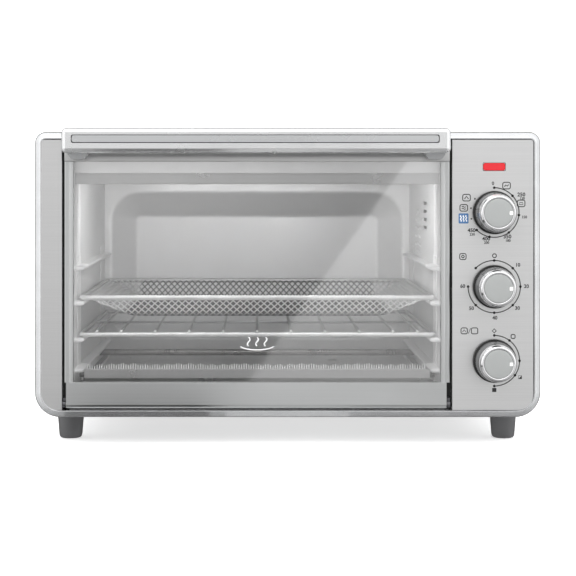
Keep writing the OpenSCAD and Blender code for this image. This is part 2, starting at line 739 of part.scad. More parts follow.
// Tub with sloping sides; the weave is finer than a solid shows
module basket_mesh() color("lightgray") from_front() difference() {
  tub(0, 0);
  tub(1.2, 1.2);
}

module tub(d, lift) {
  top = basket_z + 0.4 * rim_r;
  hull() {
    block([rack_l + 2 * rim_r + 0.7 + d, tub_front + 0.7 + d, top - (lift > 0 ? -1 : 1.2)],
          [rack_r - 2 * rim_r - 0.7 - d, tub_back - 0.7 - d, top + (lift > 0 ? 2 : 0)]);
    block([rack_l + tub_slope + d, tub_floor_front + d, basket_z - tub_h + lift],
          [rack_r - tub_slope - d, tub_floor_back - d, basket_z - tub_h + lift + 0.5]);
  }
}

module crumb_tray() color("darkgray") from_front() {
  block([tray_l, tray_front + 10, tray_z], [tray_r, tray_back, tray_z + 0.8]);
  block([tray_l, tray_front + 10, tray_z], [tray_r, tray_front + 11, tray_lip - 8]);
  block([tray_l, tray_front, tray_lip - 8.8], [tray_r, tray_front + 11, tray_lip - 8]);
  block([tray_l, tray_front, tray_lip - 8.8], [tray_r, tray_front + 1, tray_lip]);
  block([tray_l, tray_front, tray_lip - 1], [tray_r, tray_front + 4, tray_lip]);
  for (x = [tray_l, tray_r - 0.8])
      block([x, tray_front + 10, tray_z], [x + 0.8, tray_back, tray_z + 3.4]);
  block([tray_l, tray_back - 0.8, tray_z], [tray_r, tray_back, tray_z + 3.4]);
}

// ---------- one line for each node ----------
outer_shell();
base_plate();
rear_cover();
front_bezel();
left_trim_plate();
control_panel();
indicator_lens();
indicator_lamp();
feet();
foot_screws();
case_screws();
cord_gland();
cavity_top();
cavity_left_wall();
cavity_right_wall();
cavity_back_wall();
cavity_floor();
cavity_front_frame();
upper_heater_guard();
upper_front_element();
upper_rear_element();
lower_front_element();
lower_rear_element();
element_insulators();
left_runner();
right_runner();
hinge_brackets();
control_bracket();
thermostat();
timer_mechanism();
toast_selector();
heat_shield();
fan_motor();
fan_housing();
internal_wiring();
door_glass();
door_top_rail();
door_bottom_rail();
door_left_stile();
door_right_stile();
door_handle();
handle_insert();
handle_brackets();
handle_screws();
hinge_pins();
temperature_knob();
temperature_knob_face();
temperature_shaft();
timer_knob();
timer_knob_face();
timer_shaft();
toast_knob();
toast_knob_face();
toast_shaft();
fan_impeller();
fan_shaft();
wire_rack();
basket_frame();
basket_mesh();
crumb_tray();
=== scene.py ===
"""Looks of a countertop toaster oven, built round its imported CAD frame.

Lengths are metres unless a name ends in _mm.
"""

import json
import math

import bmesh
import bpy
import numpy as np
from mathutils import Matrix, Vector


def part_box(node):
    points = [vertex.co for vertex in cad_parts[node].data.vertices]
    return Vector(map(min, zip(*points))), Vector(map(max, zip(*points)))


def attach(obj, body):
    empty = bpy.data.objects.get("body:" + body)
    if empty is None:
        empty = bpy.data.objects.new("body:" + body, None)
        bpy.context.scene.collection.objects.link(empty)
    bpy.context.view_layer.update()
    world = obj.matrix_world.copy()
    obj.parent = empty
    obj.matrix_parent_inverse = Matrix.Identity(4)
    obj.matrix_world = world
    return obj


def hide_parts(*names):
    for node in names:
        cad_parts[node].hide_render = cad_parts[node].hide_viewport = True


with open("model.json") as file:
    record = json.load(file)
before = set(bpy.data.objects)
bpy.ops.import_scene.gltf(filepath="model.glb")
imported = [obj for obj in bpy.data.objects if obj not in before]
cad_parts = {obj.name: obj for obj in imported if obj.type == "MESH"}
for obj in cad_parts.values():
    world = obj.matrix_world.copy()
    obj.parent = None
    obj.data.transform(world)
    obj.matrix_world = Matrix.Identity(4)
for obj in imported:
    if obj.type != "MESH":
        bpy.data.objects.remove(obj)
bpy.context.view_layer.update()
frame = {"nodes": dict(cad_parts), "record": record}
MM = 0.001


# ---------- places taken from the frame ----------


def span(node):
    """Lowest and highest corner of a CAD node, as arrays."""
    low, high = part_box(node)
    return np.array(low), np.array(high)


def middle(node):
    """Centre of a CAD node's box."""
    low, high = span(node)
    return (low + high) / 2


BEZEL_LOW, BEZEL_HIGH = span("front_bezel")
FACE_Y = BEZEL_LOW[1]
PANEL_LOW, PANEL_HIGH = span("control_panel")
GLASS_LOW, GLASS_HIGH = span("door_glass")
KNOBS = ("temperature", "timer", "toast")
TOP_R, BOTTOM_R = 11 * MM, 24 * MM  # corners of the body's outline
EMBOSS = 1.3 * MM  # how far the side panels stand out
SHEET = 1 * MM


# ---------- camera and studio ----------


def make_camera():
    """Level camera far in front of the door, framed by shift only, so that upright edges stay upright."""
    data = bpy.data.cameras.new("camera")
    data.sensor_width = 36
    data.lens = 98
    data.shift_x = 0.0546
    data.shift_y = -0.1875
    data.clip_end = 60
    camera = bpy.data.objects.new("camera", data)
    camera.location = (-29.5 * MM, FACE_Y - 1.48, 0.25)
    camera.rotation_euler = (math.pi / 2, 0, 0)
    bpy.context.collection.objects.link(camera)
    bpy.context.scene.camera = camera


def area_light(name, place, aim, size, power, shine=True):
    """Rectangular soft box at place, turned to face aim."""
    data = bpy.data.lights.new(name, "AREA")
    data.shape = "RECTANGLE"
    data.size, data.size_y = size
    data.energy = power
    lamp = bpy.data.objects.new(name, data)
    lamp.location = place
    away = np.array(place) - np.array(aim)
    lamp.rotation_euler = Vector(away).to_track_quat("Z", "Y").to_euler()
    lamp.visible_camera = False
    lamp.visible_glossy = shine
    bpy.context.collection.objects.link(lamp)


def make_world():
    """Studio sky: brightness runs through a ramp of height, dim below the floor line and bright overhead. Both
    sides are brighter and the rear is dim, which puts white bands and thin dark lines along the rounded edges."""
    world = bpy.data.worlds.new("studio")
    world.use_nodes = True
    bpy.context.scene.world = world
    tree = world.node_tree
    coord = add(tree, "TexCoord")
    split = add(tree, "SeparateXYZ", i0=coord.outputs["Generated"])
    height = add(tree, "MapRange", i0=split.outputs["Z"], i1=-1.0)
    ramp = add(tree, "ValToRGB", i0=height.outputs[0])
    first, last = ramp.color_ramp.elements
    for stop, (place, value) in ((first, SKY[0]), (last, SKY[-1])):
        stop.position, stop.color = place, (*[value / SKY_TOP] * 3, 1)
    for place, value in SKY[1:-1]:
        ramp.color_ramp.elements.new(place).color = (*[value / SKY_TOP] * 3, 1)
    across = add(tree, "Math", {"operation": "MULTIPLY"}, i0=split.outputs["X"], i1=split.outputs["X"])
    side = add(tree, "Math", {"operation": "MULTIPLY_ADD"}, i0=across.outputs[0], i1=SKY_SIDES / SKY_TOP,
               i2=ramp.outputs[0])
    rear = add(tree, "MapRange", i0=split.outputs["Y"], i1=0.06, i2=0.5, i3=1.0, i4=SKY_REAR)
    shaded = add(tree, "Math", {"operation": "MULTIPLY"}, i0=side.outputs[0], i1=rear.outputs[0])
    back = tree.nodes["Background"]
    back.inputs["Strength"].default_value = SKY_TOP
    tree.links.new(shaded.outputs[0], back.inputs["Color"])


# brightness of the sky against height: 0 is straight down, 0.5 the horizon, 1 straight up
SKY = ((0.0, 0.30), (0.40, 0.36), (0.47, 0.62), (0.52, 0.74), (0.62, 0.86), (0.80, 1.15), (1.0, 1.35))
SKY_TOP = 1.5
SKY_SIDES = 0.6
SKY_REAR = 0.22


# ---------- mesh tools ----------


def new_object(name, mesh, materials=(), body="oven", replaces=()):
    """Links a mesh as a piece that rides on a body and stands for CAD nodes."""
    piece = bpy.data.objects.new(name, mesh)
    bpy.context.collection.objects.link(piece)
    for material in materials:
        mesh.materials.append(material)
    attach(piece, body)
    if replaces:
        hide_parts(*replaces)
    return piece


def mesh_from(name, points, faces, smooth=True):
    """Mesh from an array of points and lists of corners."""
    mesh = bpy.data.meshes.new(name)
    mesh.from_pydata(np.asarray(points, float).tolist(), [], [list(map(int, f)) for f in faces])
    mesh.update()
    mesh.polygons.foreach_set("use_smooth", [smooth] * len(mesh.polygons))
    return mesh


def grid_faces(rows, columns, wrap_rows=False, wrap_columns=False):
    """Quads between neighbours of a grid of points numbered row by row."""
    i = np.arange(rows if wrap_rows else rows - 1)
    j = np.arange(columns if wrap_columns else columns - 1)
    i, j = (a.ravel() for a in np.meshgrid(i, j, indexing="ij"))
    down, right = (i + 1) % rows, (j + 1) % columns
    return np.stack([i * columns + j, i * columns + right, down * columns + right, down * columns + j], 1)


def tube_faces(rows, columns, closed=False):
    """Faces of a tube of rings; an open one is capped at both ends."""
    faces = list(grid_faces(rows, columns, wrap_rows=closed, wrap_columns=True))
    if not closed:
        faces += [np.arange(columns)[::-1], np.arange(columns) + (rows - 1) * columns]
    return faces


def outward(mesh, merge=1e-6):
    """Merges doubles and turns every face outwards."""
    bm = bmesh.new()
    bm.from_mesh(mesh)
    bmesh.ops.remove_doubles(bm, verts=bm.verts, dist=merge)
    bmesh.ops.recalc_face_normals(bm, faces=bm.faces)
    bm.to_mesh(mesh)
    bm.free()
    return mesh


def joined(name, parts, smooth=True):
    """One mesh from several (points, faces) pairs."""
    offsets = np.cumsum([0] + [len(p) for p, _ in parts[:-1]])
    points = np.concatenate([p for p, _ in parts])
    faces = [list(np.array(f) + o) for (_, fs), o in zip(parts, offsets) for f in fs]
    return mesh_from(name, points, faces, smooth)


def shape_piece(name, parts, materials, body, replaces=(), sharp=None, smooth=True):
    """Piece made of parts and facing outwards; edges past sharp degrees stay crisp."""
    mesh = outward(joined(name, parts, smooth))
    if sharp:
        mesh.set_sharp_from_angle(angle=math.radians(sharp))
    return new_object(name, mesh, materials, body, replaces)


def turned(profile, centre, axis="y", steps=96):
    """(points, faces) of a profile of (radius, height) turned about an axis through centre. Height runs towards -Y on
    a front-facing axis and along the axis itself on the others. P = centre + height a + radius (cos t b + sin t c)."""
    r, h = np.array(profile, float).T
    t = np.linspace(0, 2 * np.pi, steps, endpoint=False)
    ring = {"y": ((0, -1, 0), (1, 0, 0), (0, 0, 1)), "z": ((0, 0, 1), (1, 0, 0), (0, 1, 0)),
            "x": ((1, 0, 0), (0, 1, 0), (0, 0, 1))}
    a, b, c = (np.array(v, float) for v in ring[axis])
    around = np.cos(t)[None, :, None] * b + np.sin(t)[None, :, None] * c
    points = np.array(centre) + h[:, None, None] * a + r[:, None, None] * around
    return points.reshape(-1, 3), grid_faces(len(r), steps, wrap_columns=True)


def tube(path, radius, sides=12, closed=False):
    """(points, faces) of a round tube: a circle of the radius carried along the path, square to it, with a frame that
    turns as little as it can from one point to the next; open ends are drawn in to a dome."""
    path = np.asarray(path, float)
    if not closed:
        first, last = path[1] - path[0], path[-1] - path[-2]
        cap = 0.45 * radius
        path = np.vstack([path[0], path[0] + first / np.linalg.norm(first) * cap, path[1:-1],
                          path[-1] - last / np.linalg.norm(last) * cap, path[-1]])
    ahead = np.roll(path, -1, 0) - np.roll(path, 1, 0) if closed else np.gradient(path, axis=0)
    ahead /= np.linalg.norm(ahead, axis=1)[:, None]
    reference = np.array([0.0, 0.0, 1.0]) if np.abs(ahead[:, 2]).max() < 0.9 else np.array([0.3, 0.94, 0.1])
    side = np.cross(ahead, reference)
    side /= np.linalg.norm(side, axis=1)[:, None]
    up = np.cross(side, ahead)
    t = np.linspace(0, 2 * np.pi, sides, endpoint=False)
    r = np.full(len(path), radius)
    if not closed:
        r[[0, -1]] = 0.55 * radius
    ring = np.cos(t)[None, :, None] * side[:, None] + np.sin(t)[None, :, None] * up[:, None]
    points = (path[:, None] + r[:, None, None] * ring).reshape(-1, 3)
    return points, tube_faces(len(path), sides, closed)


def rounded_outline(low, high, top_r, bottom_r, inset=0.0, steps=14, along=1):
    """Points (x, z) anticlockwise round a rectangle with round corners, drawn in by inset: each corner is a quarter
    circle whose radius is its own less the inset, and straight stretches are split into along pieces."""
    low, high = np.array(low) + inset, np.array(high) - inset
    t_r, b_r = max(top_r - inset, 1e-5), max(bottom_r - inset, 1e-5)
    corners = ((high[0] - b_r, low[1] + b_r, b_r, -90), (high[0] - t_r, high[1] - t_r, t_r, 0),
               (low[0] + t_r, high[1] - t_r, t_r, 90), (low[0] + b_r, low[1] + b_r, b_r, 180))
    arcs = []
    for x, z, r, start in corners:
        a = np.radians(start + np.linspace(0, 90, steps))
        arcs.append(np.stack([x + r * np.cos(a), z + r * np.sin(a)], 1))
    outline = []
    for arc, after in zip(arcs, arcs[1:] + arcs[:1]):
        f = np.linspace(0, 1, along + 1)[1:-1, None]
        outline += [arc, arc[-1] * (1 - f) + after[0] * f]
    return np.concatenate(outline)


def softened(node, width_mm, segments=3, angle=28):
    """Copy of a CAD node with its doubles merged, its flat faces whole again and its edges rounded by width_mm."""
    body = next(b for b, nodes in frame["record"]["behaviour"]["bodies"].items() if node in nodes)
    mesh = frame["nodes"][node].data.copy()
    mesh.materials.clear()
    bm = bmesh.new()
    bm.from_mesh(mesh)
    bmesh.ops.remove_doubles(bm, verts=bm.verts, dist=2e-6)
    bmesh.ops.dissolve_limit(bm, angle_limit=math.radians(1.5), verts=bm.verts, edges=bm.edges)
    bm.to_mesh(mesh)
    bm.free()
    piece = new_object(node + "_shape", mesh, [MATERIALS[node]], body, (node,))
    bevel = piece.modifiers.new("edges", "BEVEL")
    bevel.width = width_mm * MM
    bevel.segments = segments
    bevel.limit_method = "ANGLE"
    bevel.angle_limit = math.radians(angle)
    bevel.use_clamp_overlap = True
    bevel.harden_normals = True
    mesh.polygons.foreach_set("use_smooth", [True] * len(mesh.polygons))
    mesh.set_sharp_from_angle(angle=math.radians(angle))
    return piece


# ---------- shared shader groups ----------


def group(name, inputs, outputs):
    """New shader node group with its sockets; a number input is (name, value), an output is (name, kind)."""
    tree = bpy.data.node_groups.new(name, "ShaderNodeTree")
    for label, value in inputs:
        kind = "NodeSocketVector" if value is None else "NodeSocketColor" if isinstance(value,
                                                                                        tuple) else "NodeSocketFloat"
        socket = tree.interface.new_socket(label, in_out="INPUT", socket_type=kind)
        if value is not None:
            socket.default_value = value
    for label, kind in outputs:
        tree.interface.new_socket(label, in_out="OUTPUT", socket_type="NodeSocket" + kind)
    return tree, tree.nodes.new("NodeGroupInput"), tree.nodes.new("NodeGroupOutput")


def add(tree, kind, settings=None, **inputs):
    """Adds a node; inputs are numbers or sockets to link from."""
    made = tree.nodes.new("ShaderNode" + kind)
    for key, value in (settings or {}).items():
        setattr(made, key, value)
    for key, value in inputs.items():
        socket = made.inputs[int(key[1:])] if key[0] == "i" and key[1:].isdigit() else made.inputs[key.replace("_",
                                                                                                               " ")]
        if isinstance(value, bpy.types.NodeSocket):
            tree.links.new(value, socket)
        else:
            socket.default_value = value
    return made


def grain_group():
    """Brushed grain: noise squeezed across the brushing direction. Puts out a shade around 1 and a height."""
    tree, given, out = group("brushed_grain", [("Vector", None), ("Across", 900.0), ("Along", 8.0), ("Depth", 0.06)],
                             [("Shade", "Float"), ("Height", "Float")])
    stretch = add(tree, "CombineXYZ", i0=given.outputs["Along"], i1=given.outputs["Across"],
                  i2=given.outputs["Across"])
    place = add(tree, "VectorMath", {"operation": "MULTIPLY"}, i0=given.outputs["Vector"], i1=stretch.outputs[0])
    fine = add(tree, "TexNoise", Vector=place.outputs[0], Scale=1.0, Detail=3.0)
    centred = add(tree, "Math", {"operation": "SUBTRACT"}, i0=fine.outputs[0], i1=0.5)
    shade = add(tree, "Math", {"operation": "MULTIPLY_ADD"}, i0=centred.outputs[0], i1=given.outputs["Depth"], i2=1.0)
    tree.links.new(shade.outputs[0], out.inputs["Shade"])
    tree.links.new(fine.outputs[0], out.inputs["Height"])
    return tree


def smudge_group():
    """Soft patches of handling and heat: slow noise between a low and a high value, and the same noise as a mask."""
    tree, given, out = group("smudges", [("Vector", None), ("Scale", 14.0), ("Low", 0.25), ("High", 0.4)],
                             [("Value", "Float"), ("Mask", "Float")])
    slow = add(tree, "TexNoise", Vector=given.outputs["Vector"], Scale=given.outputs["Scale"], Detail=4.0,
               Roughness=0.6)
    value = add(tree, "MapRange", i0=slow.outputs[0], i1=0.3, i2=0.7, i3=given.outputs["Low"],
                i4=given.outputs["High"])
    mask = add(tree, "MapRange", i0=slow.outputs[0], i1=0.35, i2=0.65)
    tree.links.new(value.outputs[0], out.inputs["Value"])
    tree.links.new(mask.outputs[0], out.inputs["Mask"])
    return tree


def pimple_group():
    """Fine moulded texture of plastic and ceramic: small round cells as a height."""
    tree, given, out = group("moulded_texture", [("Vector", None), ("Scale", 1800.0)], [("Height", "Float")])
    cells = add(tree, "TexVoronoi", {"feature": "SMOOTH_F1"}, Vector=given.outputs["Vector"],
                Scale=given.outputs["Scale"])
    tree.links.new(cells.outputs["Distance"], out.inputs["Height"])
    return tree


GRAIN, SMUDGES, PIMPLES = grain_group(), smudge_group(), pimple_group()


# ---------- materials ----------


def start_material(name, colour, metallic, roughness):
    """Material with a Principled shader and object coordinates; returns what the patterns are linked to."""
    material = bpy.data.materials.new(name)
    material.use_nodes = True
    tree = material.node_tree
    shader = tree.nodes["Principled BSDF"]
    shader.inputs["Base Color"].default_value = (*colour, 1)
    shader.inputs["Metallic"].default_value = metallic
    shader.inputs["Roughness"].default_value = roughness
    coord = tree.nodes.new("ShaderNodeTexCoord")
    return material, tree, shader, coord.outputs["Object"]


def place_group(tree, what, vector, **values):
    """Places a shared group in a material with its own values."""
    made = tree.nodes.new("ShaderNodeGroup")
    made.node_tree = what
    tree.links.new(vector, made.inputs["Vector"])
    for key, value in values.items():
        made.inputs[key].default_value = value
    return made


def satin(tree, shader, vector, scale, low, high):
    """Uneven gloss: smudges set the roughness between low and high. Returns their mask."""
    smudge = place_group(tree, SMUDGES, vector, Scale=scale, Low=low, High=high)
    tree.links.new(smudge.outputs["Value"], shader.inputs["Roughness"])
    return smudge.outputs["Mask"]


def shade_colour(tree, shader, colour, factor):
    """Base colour times a factor that changes over the surface."""
    scaled = add(tree, "VectorMath", {"operation": "SCALE"}, i0=colour, Scale=factor)
    tree.links.new(scaled.outputs[0], shader.inputs["Base Color"])


def bump(tree, shader, height, strength, distance_mm):
    made = add(tree, "Bump", Strength=strength, Distance=distance_mm * MM, Height=height)
    tree.links.new(made.outputs[0], shader.inputs["Normal"])


def brushed(name, colour, roughness=0.3, across=900.0, along=8.0, depth=0.08, turn=None, metallic=1.0, relief=0.25):
    """Brushed metal: grain lines along X, or along another axis by turn, over soft smudges in the roughness."""
    material, tree, shader, vector = start_material(name, colour, metallic, roughness)
    if turn:
        vector = add(tree, "Mapping", Vector=vector, Rotation=turn).outputs[0]
    grain = place_group(tree, GRAIN, vector, Across=across, Along=along, Depth=depth)
    satin(tree, shader, vector, 9.0, roughness * 0.85, roughness * 1.2)
    shade_colour(tree, shader, colour, grain.outputs["Shade"])
    bump(tree, shader, grain.outputs["Height"], relief, 0.02)
    return material


def sheet_metal(name, colour, roughness=0.35, patch=0.08, scale=26.0, metallic=1.0):
    """Plain coated sheet: faint cloudy patches in colour and gloss, and a very fine rolled texture."""
    material, tree, shader, vector = start_material(name, colour, metallic, roughness)
    mask = satin(tree, shader, vector, scale, roughness * 0.8, roughness * 1.25)
    tone = add(tree, "MapRange", i0=mask, i3=1 - patch, i4=1 + patch * 0.4)
    shade_colour(tree, shader, colour, tone.outputs[0])
    fine = add(tree, "TexNoise", Vector=vector, Scale=1400.0, Detail=2.0)
    bump(tree, shader, fine.outputs[0], 0.12, 0.01)
    return material


def moulded(name, colour, roughness=0.5, scale=1800.0, relief=0.2, coat=0.0, metallic=0.0):
    """Moulded plastic, rubber or ceramic with a fine skin texture and slightly uneven gloss."""
    material, tree, shader, vector = start_material(name, colour, metallic, roughness)
    mask = satin(tree, shader, vector, 30.0, roughness * 0.85, roughness * 1.15)
    skin = place_group(tree, PIMPLES, vector, Scale=scale)
    tone = add(tree, "MapRange", i0=mask, i3=0.94, i4=1.04)
    shade_colour(tree, shader, colour, tone.outputs[0])
    bump(tree, shader, skin.outputs["Height"], relief, 0.03)
    shader.inputs["Coat Weight"].default_value = coat
    return material


def plated(name, colour, roughness=0.08):
    """Bright plating: spotless mirror metal with faint waves and fine wiping marks in the gloss."""
    material, tree, shader, vector = start_material(name, colour, 1.0, roughness)
    mask = satin(tree, shader, vector, 45.0, roughness * 0.6, roughness * 1.7)
    tone = add(tree, "MapRange", i0=mask, i3=0.95, i4=1.02)
    shade_colour(tree, shader, colour, tone.outputs[0])
    wave = add(tree, "TexNoise", Vector=vector, Scale=60.0)
    bump(tree, shader, wave.outputs[0], 0.04, 0.2)
    return material


def spun(name, colour, centre, roughness=0.4):
    """Spun metal disc: rings round its own centre, as a fine wave of the distance from a front-facing axis."""
    material, tree, shader, vector = start_material(name, colour, 0.75, roughness)
    local = add(tree, "Mapping", {"vector_type": "POINT"}, Vector=vector, Location=(-centre[0], 0, -centre[2]))
    flat = add(tree, "VectorMath", {"operation": "MULTIPLY"}, i0=local.outputs[0], i1=(1, 0, 1))
    far = add(tree, "VectorMath", {"operation": "LENGTH"}, i0=flat.outputs[0])
    rings = add(tree, "TexNoise", {"noise_dimensions": "1D"}, W=far.outputs["Value"], Scale=3500.0, Detail=1.0)
    tone = add(tree, "MapRange", i0=rings.outputs[0], i1=0.3, i2=0.7, i3=0.97, i4=1.03)
    shade_colour(tree, shader, colour, tone.outputs[0])
    satin(tree, shader, vector, 60.0, roughness * 0.9, roughness * 1.1)
    bump(tree, shader, rings.outputs[0], 0.1, 0.01)
    return material


def pane_glass(name, tint, glaze):
    """Clear pane: light goes straight through with a slight tint, and a share of it is mirrored. The share is glaze
    where the pane is seen squarely and rises with the fifth power of the slant, the same from both sides."""
    material = bpy.data.materials.new(name)
    material.use_nodes = True
    tree = material.node_tree
    tree.nodes.remove(tree.nodes["Principled BSDF"])
    through = add(tree, "BsdfTransparent", Color=(*tint, 1))
    mirror = add(tree, "BsdfAnisotropic", Color=(1, 1, 1, 1), Roughness=0.03)
    slant = add(tree, "LayerWeight", Blend=0.5)
    steep = add(tree, "Math", {"operation": "POWER"}, i0=slant.outputs["Facing"], i1=5.0)
    share = add(tree, "Math", {"operation": "MULTIPLY_ADD"}, i0=steep.outputs[0], i1=1 - glaze, i2=glaze)
    mixed = add(tree, "MixShader", i0=share.outputs[0], i1=through.outputs[0], i2=mirror.outputs[0])
    tree.links.new(mixed.outputs[0], tree.nodes["Material Output"].inputs["Surface"])
    return material


def lens(name, colour):
    """Red translucent lens: a coloured body under a clear gloss, with fine upright prisms inside."""
    material, tree, shader, vector = start_material(name, colour, 0.0, 0.22)
    wave = add(tree, "TexWave", {"bands_direction": "X"}, Vector=vector, Scale=260.0)
    tone = add(tree, "MapRange", i0=wave.outputs["Fac"], i3=0.92, i4=1.06)
    shade_colour(tree, shader, colour, tone.outputs[0])
    shader.inputs["Emission Color"].default_value = (*colour, 1)
    shader.inputs["Emission Strength"].default_value = 0.05
    shader.inputs["Coat Weight"].default_value = 0.25
    bump(tree, shader, wave.outputs["Fac"], 0.1, 0.1)
    return material


def printed(name, colour):
    """Screen-printed ink: matt, very slightly uneven."""
    material, tree, shader, vector = start_material(name, colour, 0.0, 0.55)
    satin(tree, shader, vector, 200.0, 0.45, 0.65)
    return material


def liner_sheet(name, colour):
    """Aluminised lining: satin and a little cloudy, with a brighter band just inside the mouth put into its colour as
    painted light.
    """
    material, tree, shader, vector = start_material(name, colour, 0.3, 0.5)
    mask = satin(tree, shader, vector, 14.0, 0.4, 0.6)
    depth = add(tree, "SeparateXYZ", i0=vector)
    mouth = float(span("upper_heater_guard")[0][1])
    # painted light: the lining's colour is 1.38 times brighter just inside the mouth and 0.97 times further in
    painted_light_by_depth = add(tree, "MapRange", i0=depth.outputs["Y"], i1=mouth + 44 * MM, i2=mouth + 48 * MM, i3=1.38, i4=0.97)
    tone = add(tree, "MapRange", i0=mask, i3=0.96, i4=1.02)
    both = add(tree, "Math", {"operation": "MULTIPLY"}, i0=painted_light_by_depth.outputs[0], i1=tone.outputs[0])
    shade_colour(tree, shader, colour, both.outputs[0])
    fine = add(tree, "TexNoise", Vector=vector, Scale=1400.0, Detail=2.0)
    bump(tree, shader, fine.outputs[0], 0.12, 0.01)
    return material


def wire_chrome(name, node):
    """Chromed wire with a painted highlight: its colour is brighter at the front rail and wire ends than behind, not a
    known finish.
    """
    material, tree, shader, vector = start_material(name, (0.4, 0.4, 0.4), 0.7, 0.38)
    mask = satin(tree, shader, vector, 40.0, 0.34, 0.44)
    depth = add(tree, "SeparateXYZ", i0=vector)
    front = float(span(node)[0][1])
    # painted highlight: colour 2.45 times the base at the front rail and wire ends, 1.1 times behind
    painted_light_by_depth = add(tree, "MapRange", i0=depth.outputs["Y"], i1=front + 3.5 * MM, i2=front + 8 * MM, i3=2.45, i4=1.1)
    tone = add(tree, "MapRange", i0=mask, i3=0.85, i4=1.05)
    both = add(tree, "Math", {"operation": "MULTIPLY"}, i0=painted_light_by_depth.outputs[0], i1=tone.outputs[0])
    shade_colour(tree, shader, (0.4, 0.4, 0.4), both.outputs[0])
    return material


def mesh_wire():
    """Expanded steel of the basket with painted light and shade: painted bright on the front and side slopes and
    painted dark elsewhere.
    """
    material, tree, shader, vector = start_material("mesh_steel", (0.5, 0.5, 0.5), 0.6, 0.35)
    mask = satin(tree, shader, vector, 60.0, 0.28, 0.42)
    depth = add(tree, "SeparateXYZ", i0=vector)
    front = float(span("basket_mesh")[0][1])
    # painted highlight on the front slope, 1.9 times the base colour, and painted shade behind it, 0.30 times
    painted_light_by_depth = add(tree, "MapRange", i0=depth.outputs["Y"], i1=front + 17 * MM, i2=front + 24 * MM, i3=1.9, i4=0.30)
    middle_x, half_x = float(middle("basket_mesh")[0]), float(span("basket_mesh")[1][0] - middle("basket_mesh")[0])
    aside = add(tree, "Math", {"operation": "SUBTRACT"}, i0=depth.outputs["X"], i1=middle_x)
    away = add(tree, "Math", {"operation": "ABSOLUTE"}, i0=aside.outputs[0])
    # painted highlight on the side slopes as well; the brighter of the two is kept
    flank = add(tree, "MapRange", i0=away.outputs[0], i1=half_x - 40 * MM, i2=half_x - 33 * MM, i3=0.0, i4=1.1)
    tone_and_painted_light = add(tree, "Math", {"operation": "MAXIMUM"}, i0=painted_light_by_depth.outputs[0], i1=flank.outputs[0])
    tone = add(tree, "MapRange", i0=mask, i3=0.94, i4=1.03)
    both = add(tree, "Math", {"operation": "MULTIPLY"}, i0=tone_and_painted_light.outputs[0], i1=tone.outputs[0])
    shade_colour(tree, shader, (0.5, 0.5, 0.5), both.outputs[0])
    return material


def mouth_frame_painted_gap_shade():
    """Front frame of the cavity: bright where it lines the mouth, and coloured near-black as painted shade behind the
    gaps round the door.
    """
    material, tree, shader, vector = start_material("mouth_frame", (0.75, 0.75, 0.75), 0.2, 0.35)
    mask = satin(tree, shader, vector, 14.0, 0.3, 0.42)
    cavity = (middle("door_glass") * (1, 0, 1))
    local = add(tree, "VectorMath", {"operation": "SUBTRACT"}, i0=vector, i1=tuple(cavity))
    away = add(tree, "VectorMath", {"operation": "ABSOLUTE"}, i0=local.outputs[0])
    parts = add(tree, "SeparateXYZ", i0=away.outputs[0])
    half = (GLASS_HIGH - GLASS_LOW) / 2
    # painted shade: past the pane's width the frame is coloured near-black, where the gaps round the door lie in
    # shadow
    past = add(tree, "MapRange", i0=parts.outputs["X"], i1=float(half[0]), i2=float(half[0]) + 1 * MM)
    tone_and_painted_light = add(tree, "MapRange", i0=mask, i3=0.70, i4=0.78)
    light = add(tree, "CombineXYZ", i0=tone_and_painted_light.outputs[0], i1=tone_and_painted_light.outputs[0], i2=tone_and_painted_light.outputs[0])
    both = add(tree, "Mix", {"data_type": "VECTOR"}, i0=past.outputs[0], i4=light.outputs[0],
               i5=(0.012, 0.012, 0.012))
    tree.links.new(both.outputs[1], shader.inputs["Base Color"])
    return material


